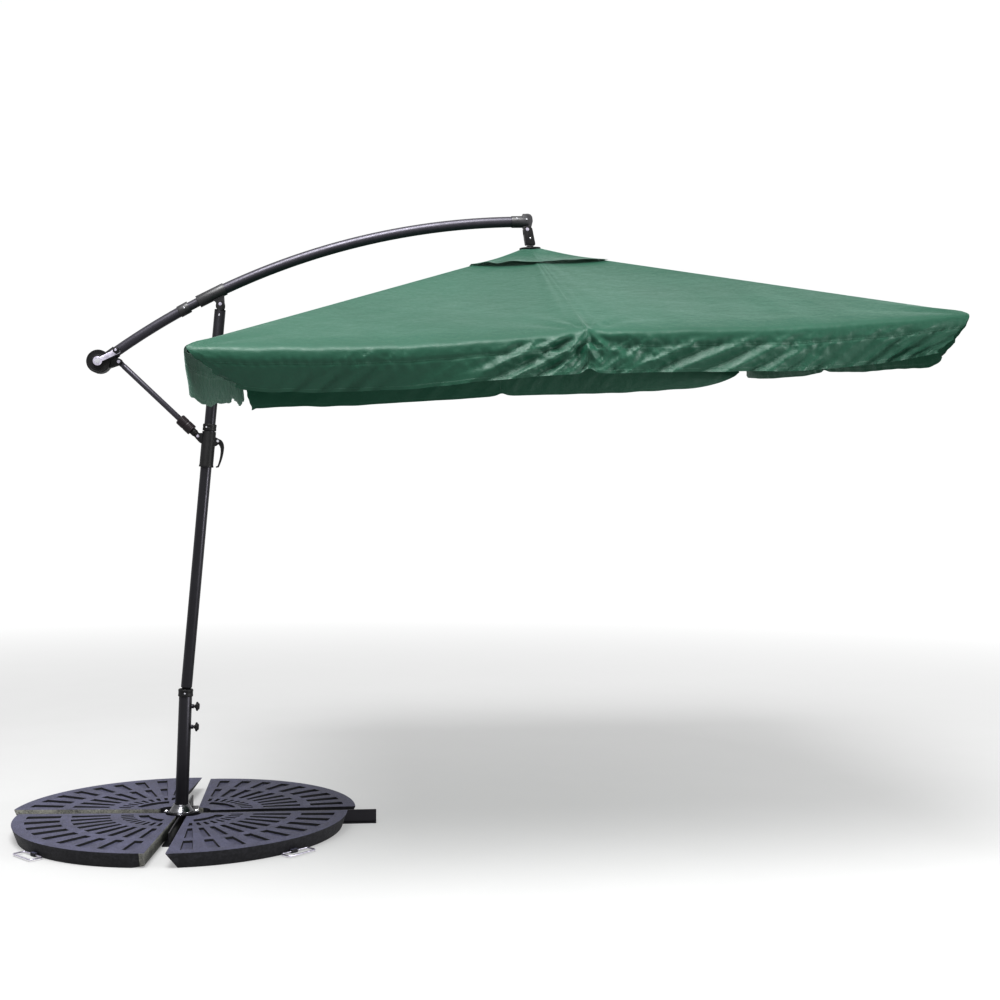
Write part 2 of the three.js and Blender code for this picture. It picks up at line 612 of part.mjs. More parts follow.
// ---- canopy -------------------------------------------------------------------------------------
const canopyFrame = frame(umbrella, APEX.x, APEX.y, APEX.z);
canopyFrame.rotation.order = 'ZXY';
canopyFrame.rotation.set(CANOPY_TILT_X, CANOPY_TILT_Y, CANOPY_YAW);

// Turns an eight-sided turned shell into the square canopy: its radii are those of the corners,
// and every second corner of the octagon is drawn in to the middle of a side.
function squareUp(geometry) {
  const drawn = CANOPY.middle / (CANOPY.half * Math.SQRT2);
  const position = geometry.attributes.position;
  for (let i = 0; i < position.count; i++) {
    const sector = Math.round(Math.atan2(position.getY(i), position.getX(i)) / (Math.PI / 4));
    if (sector % 2 === 0) position.setXY(i, position.getX(i) * drawn, position.getY(i) * drawn);
  }
  return geometry;
}

function makeCloth() {
  const rim = CANOPY.half * Math.SQRT2;
  const slope = CANOPY.rise / rim;
  const { cloth: t, valance } = CANOPY;
  const opening = CANOPY.opening * Math.SQRT2;
  const hem = -CANOPY.rise - valance;
  const shell = turned([
    [rim, hem], [rim, -CANOPY.rise], [opening, -opening * slope], [opening, -opening * slope - t],
    [rim - t, -CANOPY.rise - t], [rim - t, hem], [rim, hem],
  ], 8);
  piece('canopy', canopyFrame, squareUp(shell), cloth);

  const edge = CANOPY.vent * Math.SQRT2;
  const fall = edge * slope - VENT_CAP.lift;
  const { bore } = VENT_CAP;
  const cap = [[edge, -fall - t], [edge, -fall], [bore, -0.5], [bore, -0.5 - t], [edge, -fall - t]];
  piece('vent_cap', canopyFrame, squareUp(turned(cap, 8)), cloth);
}

// A notched disc: eight slots, one for each rib or stretcher.
function notchedDisc(z) {
  const { radius, height, slot, slotFrom, bore } = HUB;
  const disc = ring(radius, bore, z - height / 2, z + height / 2, 24);
  const slots = [];
  for (let i = 0; i < 8; i++) {
    slots.push(block(60, slot, height + 2, slotFrom + 30, 0, z).rotateZ((i * Math.PI) / 4));
  }
  return cut(disc, ...slots);
}

function makeCrown() {
  const { radius, boss, spindle, top } = CAP;
  const foot = HUB.z - HUB.height / 2;
  const cap = turned([
    [0, foot], [spindle, foot], [spindle, 0.5], [radius - 2, 0.5], [radius, 3], [radius - 2, 6.5],
    [boss + 1, top - 3.5], [boss, top], [0, top],
  ], 24);
  piece('crown_cap', canopyFrame, cap, blackPlastic);
  piece('rib_hub', canopyFrame, notchedDisc(HUB.z), blackPlastic);
}

// A bar from (0, 0) along +X with thin eyes: the shape shared by ribs and stretchers, in the XZ plane.
function eyedBar(length, start, end, width, height) {
  const eye = (x, root) => {
    const outline = beltOutline({ x, z: 0, r: 6 }, { x: root, z: 0, r: 6 });
    return sidePlate(outline, -RIB.eye / 2, RIB.eye / 2);
  };
  const bar = block(end - start, width, height, (start + end) / 2, 0, 0);
  if (end === length) return join(eye(0, start + 6), bar);
  return join(eye(0, start + 6), bar, eye(length, end - 6));
}

// A rib, level and along +X from its hub pivot, with two ears under it for the stretcher.
function ribGeometry(length, joint) {
  const bar = eyedBar(length, RIB.start, length, RIB.width, RIB.height);
  const ear = beltOutline({ x: joint, z: -RIB.drop, r: 6 }, { x: joint, z: -2, r: 7 });
  return join(bar, ...pairOfPlates(ear, 3.2, RIB.width / 2));
}

function makeRib(name, azimuth, { tip, joint }, runnerZ) {
  const dx = tip.r - HUB.pivot;
  const dz = tip.z - HUB.z;
  const slope = Math.atan2(-dz, dx);
  const spoke = frame(canopyFrame, 0, 0, 0);
  spoke.rotation.z = azimuth;
  const rib = frame(spoke, HUB.pivot, 0, HUB.z);
  rib.rotation.y = slope;
  piece(`rib_${name}`, rib, ribGeometry(Math.hypot(dx, dz), joint), blackSteel);
  pivot(`fold_${name}`, spoke, HUB.pivot, 0, HUB.z, [0, 1, 0]);

  const jointX = HUB.pivot + joint * Math.cos(slope) - RIB.drop * Math.sin(slope);
  const jointZ = HUB.z - joint * Math.sin(slope) - RIB.drop * Math.cos(slope);
  const across = HUB.pivot - jointX;
  const down = runnerZ - jointZ;
  const length = Math.hypot(across, down);
  const stretcher = frame(spoke, jointX, 0, jointZ);
  stretcher.rotation.y = Math.atan2(-down, across);
  const { start, width, height } = STRETCHER;
  piece(`stretcher_${name}`, stretcher, eyedBar(length, start, length - start, width, height), blackSteel);
  pivot(`knee_${name}`, spoke, jointX, 0, jointZ, [0, 1, 0]);
  if (azimuth === 0) pivot('runner_slide', spoke, HUB.pivot, 0, runnerZ, [0, 1, 0]);
}

// The runner hangs as far under the middle ribs' joints as the hub is above them.
function runnerHeight() {
  const { tip, joint } = MIDDLE_RIB;
  const slope = Math.atan2(HUB.z - tip.z, tip.r - HUB.pivot);
  return HUB.z - 2 * (joint * Math.sin(slope) + RIB.drop * Math.cos(slope));
}

function makeCanopyFrame() {
  const runnerZ = runnerHeight();
  const names = ['right', 'back_right', 'back', 'back_left', 'left', 'front_left', 'front', 'front_right'];
  names.forEach((name, i) => {
    makeRib(name, (i * Math.PI) / 4, i % 2 ? CORNER_RIB : MIDDLE_RIB, runnerZ);
  });
  piece('runner', canopyFrame, notchedDisc(runnerZ), blackPlastic);
}

makeBars();
WEIGHTS.forEach(makeWeight);
makeLowerMast();
makeUpperMast();
makeSlider();
makeLever();
makeStrut();
makeArm();
makeWinder();
makeCrank();
makeElbow();
makeCloth();
makeCrown();
makeCanopyFrame();

export default umbrella;
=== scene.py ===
"""Looks for the cantilever patio umbrella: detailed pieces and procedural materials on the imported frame."""
import json
import math

import bmesh
import bpy
import numpy as np
from mathutils import Matrix, Vector

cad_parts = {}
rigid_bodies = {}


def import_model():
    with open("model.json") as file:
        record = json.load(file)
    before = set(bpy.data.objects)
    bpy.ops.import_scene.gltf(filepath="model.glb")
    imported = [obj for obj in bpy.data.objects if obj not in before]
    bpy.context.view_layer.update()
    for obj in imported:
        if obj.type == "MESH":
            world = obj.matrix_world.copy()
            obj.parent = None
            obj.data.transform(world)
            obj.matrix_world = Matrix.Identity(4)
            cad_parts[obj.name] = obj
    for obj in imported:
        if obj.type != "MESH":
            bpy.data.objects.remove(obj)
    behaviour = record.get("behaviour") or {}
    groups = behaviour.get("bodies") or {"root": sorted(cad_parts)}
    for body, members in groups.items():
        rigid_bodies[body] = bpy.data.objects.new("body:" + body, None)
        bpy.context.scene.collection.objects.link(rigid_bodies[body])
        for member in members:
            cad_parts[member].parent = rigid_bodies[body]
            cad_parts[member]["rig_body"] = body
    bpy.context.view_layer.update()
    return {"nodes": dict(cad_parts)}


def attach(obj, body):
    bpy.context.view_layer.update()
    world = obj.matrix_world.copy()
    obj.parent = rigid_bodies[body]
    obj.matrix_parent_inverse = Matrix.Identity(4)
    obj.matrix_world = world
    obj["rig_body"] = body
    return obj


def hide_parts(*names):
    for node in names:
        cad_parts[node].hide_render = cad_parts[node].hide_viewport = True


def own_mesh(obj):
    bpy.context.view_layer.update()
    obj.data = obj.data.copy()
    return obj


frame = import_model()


# ---- frames of the part, in metres ----
def turn(axis, degrees):
    return Matrix.Rotation(math.radians(degrees), 4, axis)


def shift(x, y, z):
    return Matrix.Translation((x, y, z))


LOWER_LEAN = 2.05
UPPER_LEAN = 5.05
LOWER_BASE = 0.057
KNEE_HEIGHT = 0.5
KNEE_X = (KNEE_HEIGHT - LOWER_BASE) * math.tan(math.radians(LOWER_LEAN))
FOOT = turn("Z", 5)
MAST_PLANE = turn("Z", 6)
LOWER_MAST = MAST_PLANE @ shift(0, 0, LOWER_BASE) @ turn("Y", LOWER_LEAN)
UPPER_MAST = MAST_PLANE @ shift(KNEE_X, 0, KNEE_HEIGHT) @ turn("Y", UPPER_LEAN)
CANOPY = shift(1.363, 0.143, 2.273) @ turn("Z", 6.6) @ turn("X", 3.74) @ turn("Y", -3.1)
ARC = {"x": 1.402, "z": -0.420, "radius": 2.803}
WINDER = (-0.311, 1.806)
STRUT_HEAD = (-0.236, 1.807)
CRANK_TIP = (-0.236, 1.845)
HANG_PIN = (1.3577, 2.3494)
ARM_PIVOT = 1.541  # these three along the upper mast, from its knee
STRUT_FOOT = (-0.041, 1.0203)
LEVER_PIVOT = (0.037, 1.008)


def upper_point(x, s):
    """A point of the upper mast's own frame as (x, z) of the mast's plane."""
    p = shift(KNEE_X, 0, KNEE_HEIGHT) @ turn("Y", UPPER_LEAN) @ Vector((x, 0, s))
    return p.x, p.z


def strut_frame():
    """The strut's frame: its origin at the winder, +Z along the strut to the slider."""
    foot_x, foot_z = upper_point(*STRUT_FOOT)
    lean = math.degrees(math.atan2(foot_x - STRUT_HEAD[0], foot_z - STRUT_HEAD[1]))
    return MAST_PLANE @ shift(STRUT_HEAD[0], 0, STRUT_HEAD[1]) @ turn("Y", lean)


STRUT = strut_frame()
CROSSWISE = turn("X", 90)  # a shape made along +Z then lies along -Y, the crank's side


# ---- procedural materials ----
class Finish:
    """A material's node tree, with short ways to add and join its nodes."""

    def __init__(self, name):
        self.material = bpy.data.materials.new(name)
        self.material.use_nodes = True
        self.tree = self.material.node_tree
        self.tree.nodes.clear()
        self.output = self.tree.nodes.new("ShaderNodeOutputMaterial")

    def add(self, kind, inputs=None, **settings):
        node = self.tree.nodes.new("ShaderNode" + kind)
        for key, value in settings.items():
            setattr(node, key, value)
        for key, value in (inputs or {}).items():
            self.feed(node, key, value)
        return node

    def feed(self, node, key, value):
        """Links an input to another node's output, or sets it to a plain value."""
        if isinstance(value, bpy.types.NodeSocket):
            self.tree.links.new(value, node.inputs[key])
        else:
            node.inputs[key].default_value = value

    def place(self):
        return self.add("TexCoord").outputs["Object"]

    def noise(self, vector, scale, detail=3.0, roughness=0.55):
        inputs = {"Vector": vector, "Scale": scale, "Detail": detail, "Roughness": roughness}
        return self.add("TexNoise", inputs).outputs["Fac"]

    def stretch(self, value, low, high, to_low=0.0, to_high=1.0):
        inputs = {"Value": value, "From Min": low, "From Max": high, "To Min": to_low, "To Max": to_high}
        return self.add("MapRange", inputs).outputs["Result"]

    def sums(self, operation, a, b=0.0):
        return self.add("Math", {0: a, 1: b}, operation=operation).outputs[0]

    def times(self, a, b):
        return self.sums("MULTIPLY", a, b)

    def away(self, value, line):
        """How far a value is from a line, whichever side."""
        return self.sums("ABSOLUTE", self.sums("SUBTRACT", value, line))

    def dashes(self, value, step):
        return self.sums("GREATER_THAN", self.sums("FRACT", self.sums("DIVIDE", value, step)), 0.35)

    def rubbed(self, colour, pale, patches, sharp=0.56):
        """The colour, rubbed paler in patches along the sharp edges."""
        pointed = self.add("NewGeometry").outputs["Pointiness"]
        edge = self.stretch(pointed, sharp, sharp + 0.10, 0, 0.35)
        return self.mix(self.times(edge, patches), colour, pale)

    def mix(self, factor, a, b):
        node = self.add("Mix", {"Factor": factor}, data_type="RGBA")
        for key, value in ((6, a), (7, b)):
            self.feed(node, key, (*value, 1) if isinstance(value, tuple) else value)
        return node.outputs[2]

    def bump(self, height, distance, strength=1.0, normal=None):
        inputs = {"Height": height, "Distance": distance, "Strength": strength}
        if normal is not None:
            inputs["Normal"] = normal
        return self.add("Bump", inputs).outputs["Normal"]

    def attribute(self, name):
        return self.add("Attribute", attribute_name=name).outputs["Fac"]

    def surface(self, **inputs):
        names = {key.replace("_", " ").title(): value for key, value in inputs.items()}
        names = {key.replace("Ior", "IOR"): value for key, value in names.items()}
        return self.add("BsdfPrincipled", names).outputs[0]

    def finish(self, shader):
        self.tree.links.new(shader, self.output.inputs["Surface"])
        return self.material


COOL_GLOSS = (0.90, 0.87, 1.0, 1)


def powder_coat(name, dark, light, rough, gloss=0.32):
    """Semi-gloss paint over steel: orange peel, faint handling marks, thin scuffs on the edges."""
    f = Finish(name)
    place = f.place()
    broad = f.noise(place, 9, 5)
    smudge = f.stretch(f.noise(place, 34, 6, 0.7), 0.35, 0.7)
    colour = f.mix(broad, dark, light)
    colour = f.rubbed(colour, (0.10, 0.10, 0.11), f.stretch(f.noise(place, 60, 4), 0.5, 0.65))
    roughness = f.stretch(smudge, 0, 1, rough - 0.07, rough + 0.08)
    peel = f.bump(f.noise(place, 500, 2), 0.00008, 0.2)
    surface = f.surface(
        base_color=colour, roughness=roughness, normal=peel,
        specular_ior_level=gloss, specular_tint=COOL_GLOSS,
    )
    return f.finish(surface)


def nylon(name, dark, light, rough, gloss=0.28):
    """Moulded nylon: a fine spark-eroded grain, slightly uneven gloss and pale rubbed edges."""
    f = Finish(name)
    place = f.place()
    colour = f.mix(f.noise(place, 22, 5), dark, light)
    colour = f.rubbed(colour, (0.06, 0.06, 0.06), f.stretch(f.noise(place, 60, 3), 0.45, 0.62))
    roughness = f.stretch(f.noise(place, 48, 4), 0.3, 0.7, rough - 0.06, rough + 0.08)
    grain = f.bump(f.noise(place, 620, 3), 0.0002, 0.5)
    surface = f.surface(base_color=colour, roughness=roughness, specular_ior_level=gloss, normal=grain)
    return f.finish(surface)


def plated(name, dark, light, rough):
    """Zinc or nickel plate: metal spangle, fine drawn lines and dull patches."""
    f = Finish(name)
    place = f.place()
    spangle = f.add("TexVoronoi", {"Vector": place, "Scale": 160.0}).outputs["Color"]
    tone = f.times(f.add("SeparateColor", {"Color": spangle}).outputs[0], 0.6)
    colour = f.mix(f.sums("ADD", tone, f.times(f.noise(place, 45), 0.4)), dark, light)
    roughness = f.stretch(f.noise(place, 60, 5, 0.7), 0.3, 0.75, rough - 0.08, rough + 0.14)
    lines = f.bump(f.noise(place, 700, 2), 0.0001, 0.35)
    return f.finish(f.surface(base_color=colour, roughness=roughness, metallic=1.0, normal=lines))


def cast_resin(name, dark, light, rough, bump, upright_painted_shade=0.96):
    """Cast resin: sandy grain, mottled tone, pale chalky edges, and painted shade that darkens upright faces
    by a share.
    """
    f = Finish(name)
    place = f.place()
    sand = f.noise(place, 210, 4, 0.75)
    cloudy = f.noise(place, 14, 6, 0.65)
    tone = f.sums("ADD", f.times(cloudy, 0.35), f.times(sand, 0.65))
    colour = f.mix(f.stretch(tone, 0.38, 0.62), dark, light)
    # painted shade: faces that stand upright are darkened towards near-black, for the shade that falls on the
    # plates' sides
    facing_up = f.add("SeparateXYZ", {0: f.add("TexCoord").outputs["Normal"]}).outputs[2]
    upright = f.stretch(facing_up, 0.35, 0.8, upright_painted_shade, 0)
    colour = f.mix(upright, colour, (0.003, 0.003, 0.004))
    colour = f.rubbed(colour, (0.16, 0.16, 0.19), f.stretch(f.noise(place, 90, 5), 0.42, 0.62), 0.52)
    roughness = f.stretch(cloudy, 0.3, 0.7, rough - 0.08, rough + 0.08)
    pits = f.bump(f.stretch(f.noise(place, 190, 5, 0.75), 0.3, 0.75), 0.0012, 0.5)
    grain = f.bump(sand, 0.0006, bump, pits)
    surface = f.surface(base_color=colour, roughness=roughness, specular_ior_level=0.35, normal=grain)
    return f.finish(surface)


CLOTH_DARK = (0.0035, 0.047, 0.026)
CLOTH_LIGHT = (0.0080, 0.064, 0.038)
CLOTH_SHEEN = (0.80, 0.90, 0.87, 1)
CLOTH_THROUGH = (0.004, 0.16, 0.075, 1)
THREAD = (0.06, 0.20, 0.13)
SEAM_HALF = 0.006
STITCH = 0.0035
WEAVE_PITCH = 0.0011
VALANCE_SEAM = 0.060
HEM_DEPTH = 0.014
VALANCE = 0.166


def seams_and_thread(f, across, along, drop):
    """Where a seam or hem doubles the cloth, and where the rows of stitches run."""
    seam_tape = f.stretch(f.sums("ABSOLUTE", across), SEAM_HALF * 0.8, SEAM_HALF, 1, 0)
    from_seam = f.away(drop, VALANCE_SEAM)
    seam_band = f.stretch(from_seam, 0.0035, 0.0045, 1, 0)
    hem_top = VALANCE - HEM_DEPTH
    hem_band = f.stretch(drop, hem_top - 0.001, hem_top, 0, 1)
    doubled = f.sums("MAXIMUM", f.sums("MAXIMUM", seam_tape, seam_band), hem_band)

    stitches = f.dashes(along, STITCH)
    cross_stitches = f.dashes(across, STITCH)
    from_edge = f.away(f.sums("ABSOLUTE", across), SEAM_HALF * 0.6)
    row_along = f.times(f.stretch(from_edge, 0.0003, 0.0006, 1, 0), stitches)
    row_seam = f.times(f.stretch(from_seam, 0.0003, 0.0007, 1, 0), cross_stitches)
    row_hem = f.times(f.stretch(f.away(drop, hem_top + 0.002), 0.0003, 0.0007, 1, 0), cross_stitches)
    return doubled, f.sums("MAXIMUM", f.sums("MAXIMUM", row_along, row_seam), row_hem)


def woven_cloth():
    """Polyester canopy cloth. The mesh's attributes say where the rib seams, valance seam and hem lie."""
    f = Finish("canopy_weave")
    place = f.place()
    across = f.attribute("across")
    along = f.attribute("along")
    doubled, thread = seams_and_thread(f, across, along, f.attribute("drop"))

    patches = f.noise(place, 2.2, 5, 0.6)
    slub = f.noise(place, 75, 4, 0.6)
    tone = f.sums("ADD", f.times(patches, 0.7), f.times(slub, 0.3))
    colour = f.mix(f.stretch(tone, 0.32, 0.68), CLOTH_DARK, CLOTH_LIGHT)
    colour = f.mix(f.times(doubled, 0.3), colour, CLOTH_DARK)
    colour = f.mix(f.times(thread, 0.5), colour, THREAD)

    pitch = 2 * math.pi / WEAVE_PITCH
    warp = f.sums("SINE", f.times(across, pitch))
    weft = f.sums("SINE", f.times(along, pitch))
    weave = f.bump(f.times(warp, weft), 0.00006, 0.5)
    crumple = f.sums("ADD", f.noise(place, 26, 5, 0.55), f.times(f.noise(place, 9, 3), 1.3))
    soft = f.bump(crumple, 0.0035, 0.55, weave)
    raised = f.bump(f.sums("SUBTRACT", doubled, f.times(thread, 0.7)), 0.0007, 0.9, soft)
    roughness = f.stretch(slub, 0.3, 0.7, 0.44, 0.58)
    cloth = f.surface(
        base_color=colour, roughness=roughness, sheen_weight=0.24, sheen_roughness=0.35,
        sheen_tint=CLOTH_SHEEN, specular_ior_level=0.42, normal=raised,
    )
    through = f.add("BsdfTranslucent", {"Color": CLOTH_THROUGH, "Normal": soft}).outputs[0]
    return f.finish(f.add("MixShader", {0: 0.06, 1: cloth, 2: through}).outputs[0])


STEEL = powder_coat("powder_coat_mast", (0.006, 0.006, 0.0066), (0.012, 0.012, 0.0132), 0.36, 0.36)
ARM_STEEL = powder_coat("powder_coat_arm", (0.006, 0.0055, 0.0075), (0.011, 0.0105, 0.0140), 0.44, 0.75)
FRAME_STEEL = powder_coat("powder_coat_ribs", (0.008, 0.008, 0.0085), (0.015, 0.015, 0.016), 0.40)
NYLON = nylon("moulded_nylon", (0.004, 0.004, 0.0045), (0.009, 0.0085, 0.009), 0.46)
NYLON_ARM = nylon("moulded_nylon_arm", (0.005, 0.0045, 0.006), (0.010, 0.0095, 0.012), 0.46, 0.7)
NYLON_BROWN = nylon("moulded_nylon_warm", (0.009, 0.006, 0.0075), (0.016, 0.011, 0.013), 0.40)
ZINC = plated("zinc_plate", (0.42, 0.40, 0.47), (0.66, 0.63, 0.72), 0.34)
BRIGHT = plated("bright_plate", (0.58, 0.58, 0.62), (0.80, 0.80, 0.84), 0.2)
DARK_CHROME = plated("dark_chrome", (0.10, 0.10, 0.11), (0.20, 0.20, 0.21), 0.2)
RESIN = cast_resin("cast_resin", (0.022, 0.022, 0.038), (0.085, 0.085, 0.135), 0.62, 0.8)
# painted shade: a near-black resin for the pocket walls, standing in for the shade inside the pockets
RESIN_POCKET_SHADE = cast_resin("cast_resin_pocket_walls_painted_shade", (0.003, 0.003, 0.004), (0.007, 0.007, 0.009), 0.8, 0.3)
# painted light: a paler, mottled resin on the straight sides, for the light falling on them from the side;
# its upright faces are not darkened
RESIN_SIDES_LIT = cast_resin("cast_resin_sides_painted_light", (0.024, 0.024, 0.024), (0.230, 0.230, 0.205), 0.75, 0.8, 0.0)
CLOTH = woven_cloth()


# ---- mesh building ----
class Shape:
    """Vertices and faces in the row frame, collected before they become one object."""

    def __init__(self):
        self.points = []
        self.faces = []

    def add(self, points, faces, matrix=Matrix.Identity(4)):
        start = len(self.points)
        self.points += [matrix @ Vector(p) for p in points]
        self.faces += [tuple(start + i for i in face) for face in faces]
        return self

    def add_turned(self, profile, sides, matrix, swell=None):
        return self.add(*lathe(profile, sides, swell), matrix)


def ring_faces(count, sides, closed=False):
    """The faces between rings of points. The last ring joins the first if the shape is closed."""
    faces = []
    for row in range(count if closed else count - 1):
        here = row * sides
        there = (row + 1) % count * sides
        for i in range(sides):
            j = (i + 1) % sides
            faces.append((here + i, here + j, there + j, there + i))
    return faces


def lathe(profile, sides=48, swell=None):
    """Points and faces of a profile of (radius, height) turned about +Z. swell(angle) scales the radii."""
    points = []
    for radius, height in profile:
        for i in range(sides):
            angle = 2 * math.pi * i / sides
            r = radius * (swell(angle) if swell else 1)
            points.append((r * math.cos(angle), r * math.sin(angle), height))
    return points, ring_faces(len(profile), sides)


def rounded(profile, radius=0.0008):
    """The profile with each inner corner cut into a small three-point round."""
    result = [profile[0]]
    for before, corner, after in zip(profile, profile[1:], profile[2:]):
        c = Vector(corner)
        to_before = Vector(before) - c
        to_after = Vector(after) - c
        size = min(radius, to_before.length * 0.45, to_after.length * 0.45)
        if size < 1e-6:
            result.append(corner)
            continue
        a = c + to_before.normalized() * size
        b = c + to_after.normalized() * size
        result += [tuple(a), tuple((a + b) * 0.25 + c * 0.5), tuple(b)]
    return result + [profile[-1]]


def sweep(path, radius, sides=32, closed=False):
    """Points and faces of a round tube along a path of points."""
    path = [Vector(p) for p in path]
    count = len(path)
    points = []
    side = None
    for i, p in enumerate(path):
        before = path[i - 1] if closed or i else path[i]
        after = path[(i + 1) % count] if closed or i < count - 1 else path[i]
        ahead = (after - before).normalized()
        if side is None:
            side = ahead.orthogonal().normalized()
        side = (side - ahead * side.dot(ahead)).normalized()
        up = ahead.cross(side)
        for k in range(sides):
            angle = 2 * math.pi * k / sides
            points.append(p + side * (radius * math.cos(angle)) + up * (radius * math.sin(angle)))
    faces = ring_faces(count, sides, closed)
    if not closed:
        faces.append(tuple(reversed(range(sides))))
        faces.append(tuple((count - 1) * sides + k for k in range(sides)))
    return points, faces


def shade(mesh, angle=32):
    """Smooth shading that keeps edges sharper than the angle."""
    mesh.polygons.foreach_set("use_smooth", [True] * len(mesh.polygons))
    mesh.set_sharp_from_angle(angle=math.radians(angle))
    mesh.update()


def mesh_from(bm, name):
    """Turns a bmesh into a mesh, and frees it."""
    mesh = bpy.data.meshes.new(name)
    bm.to_mesh(mesh)
    bm.free()
    return mesh


def add_object(name, data):
    obj = bpy.data.objects.new(name, data)
    bpy.context.scene.collection.objects.link(obj)
    return obj


def place(name, mesh, material, body, replaces=()):
    """Makes the mesh a piece that rides on a body, with a material."""
    indices = [p.material_index for p in mesh.polygons]
    mesh.materials.clear()
    mesh.materials.append(material)
    mesh.polygons.foreach_set("material_index", indices)
    obj = add_object(name, mesh)
    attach(obj, body)
    if replaces:
        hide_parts(*replaces)
    return obj


def piece(name, shape, material, body, replaces=(), angle=32):
    mesh = bpy.data.meshes.new(name)
    mesh.from_pydata(shape.points, [], shape.faces)
    shade(mesh, angle)
    return place(name, mesh, material, body, replaces)


def turned(name, profile, matrix, material, body, replaces=(), sides=48, soften=0.0008):
    shape = Shape().add_turned(rounded(profile, soften), sides, matrix)
    return piece(name, shape, material, body, replaces)


def bevel_sharp(bm, width, segments=2, sharper_than=34):
    limit = math.radians(sharper_than)
    edges = [e for e in bm.edges if len(e.link_faces) == 2 and e.calc_face_angle(0) > limit]
    bmesh.ops.bevel(
        bm, geom=edges, offset=width, segments=segments, profile=0.6, affect="EDGES", clamp_overlap=True,
    )


def refine(node, material, width):
    """A detailed stand-in for a CAD casting: the same faces, joined up, with rounded edges."""
    source = frame["nodes"][node]
    bm = bmesh.new()
    bm.from_mesh(source.data)
    bmesh.ops.remove_doubles(bm, verts=bm.verts, dist=1e-6)
    bmesh.ops.dissolve_limit(bm, angle_limit=math.radians(1.5), verts=bm.verts, edges=bm.edges)
    bevel_sharp(bm, width)
    mesh = mesh_from(bm, node + "_casting")
    shade(mesh)
    return place(node + "_casting", mesh, material, source["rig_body"], [node])


# ---- screws, bolts and pins ----
def facing(point, direction):
    """A frame at a point whose +Z looks along the direction."""
    rotation = Vector(direction).to_track_quat("Z", "Y").to_matrix().to_4x4()
    return Matrix.Translation(point) @ rotation


def screw_head(shape, matrix, radius, height):
    """A domed head with a hexagonal socket."""
    dome = [
        (radius, -0.0006), (radius, height * 0.35), (radius * 0.86, height * 0.8), (radius * 0.5, height),
    ]
    shape.add_turned(dome, 24, matrix)
    socket = [(radius * 0.5, height), (radius * 0.46, height * 0.3), (0.00001, height * 0.25)]
    shape.add_turned(socket, 6, matrix)
    rim = [(radius * 0.52, height), (radius * 0.4, height)]
    shape.add_turned(rim, 24, matrix)


def hex_head(shape, matrix, radius, height):
    """A hexagonal head or nut on a washer, its top edge chamfered."""
    washer = [(radius * 1.28, -0.0004), (radius * 1.28, 0.0010), (radius * 0.9, 0.0012)]
    shape.add_turned(washer, 32, matrix)
    head = [(radius, 0.0008), (radius, height * 0.86), (radius * 0.9, height), (0.00001, height)]
    shape.add_turned(head, 6, matrix)


SCREW = (0.0038, 0.0018)  # the radius and height of a plain screw's head


def heads(name, frames, head, size, material, body):
    """A piece of like heads, one at each frame. head is screw_head or hex_head."""
    shape = Shape()
    for matrix in frames:
        head(shape, matrix, *size)
    piece(name, shape, material, body)


def screws(name, spots, material, body, both_sides=False):
    """Screw heads at (x, z, depth) on the crank's side of the mast's plane, and on the far side if asked."""
    near = MAST_PLANE.to_3x3() @ Vector((0, -1, 0))
    frames = []
    for x, z, depth in spots:
        frames.append(facing(MAST_PLANE @ Vector((x, -depth, z)), near))
        if both_sides:
            frames.append(facing(MAST_PLANE @ Vector((x, depth, z)), -near))
    heads(name, frames, screw_head, SCREW, material, body)


def cross_bolt(name, spot, half, material, body, replaces=(), radius=0.005, head=0.0052):
    """A bolt through the mast's plane: shank, hexagonal head on one side, nut on the other."""
    x, z = spot
    shape = Shape()
    matrix = MAST_PLANE @ shift(x, 0, z) @ CROSSWISE
    shape.add_turned([(radius, -half - 0.003), (radius, half + 0.001)], 24, matrix)
    hex_head(shape, matrix @ shift(0, 0, half), head, 0.0036)
    hex_head(shape, matrix @ shift(0, 0, -half) @ turn("X", 180), head, 0.0036)
    return piece(name, shape, material, body, replaces)


# ---- foot and weights ----
PLATES = {
    "back_right": (0.060, 0.014, 2), "back_left": (-0.045, 0.045, 86),
    "front_left": (-0.008, -0.022, 177), "front_right": (0.030, -0.031, 270.4),
}  # the corner's x and y on the foot, and the plate's turn in degrees
PLATE = {"radius": 0.615, "hollow": 0.050, "height": 0.055, "draft": 0.020, "undercut": 0.040, "end": 0.003}
POCKET_BANDS = [(0.112, 0.150), (0.168, 0.215), (0.255, 0.400), (0.440, 0.568)]  # the first is one long arc
POCKET_DEPTH = 0.008
SECTORS = 9
SIDE_MARGIN = 0.018
CELL = (0.27, 0.73)
BAR_ROOM = 0.0065
HANDLE = {"axis": 0.607, "out": 0.655, "half": 0.062, "z": 0.008, "wire": 0.0029, "corner": 0.010}


def plate_angle(radius, a):
    """The angle of a station a, from 0 to 1, between margins of even width along both straight sides."""
    margin = math.asin(SIDE_MARGIN / radius)
    return margin + a * (math.pi / 2 - 2 * margin)


def plate_stations():
    """The stations round the plate: each sector's edge, its pocket's two sides and its middle."""
    stations = []
    for i in range(SECTORS):
        stations += [i / SECTORS, (i + CELL[0]) / SECTORS, (i + 0.5) / SECTORS, (i + CELL[1]) / SECTORS]
    return stations + [1.0]


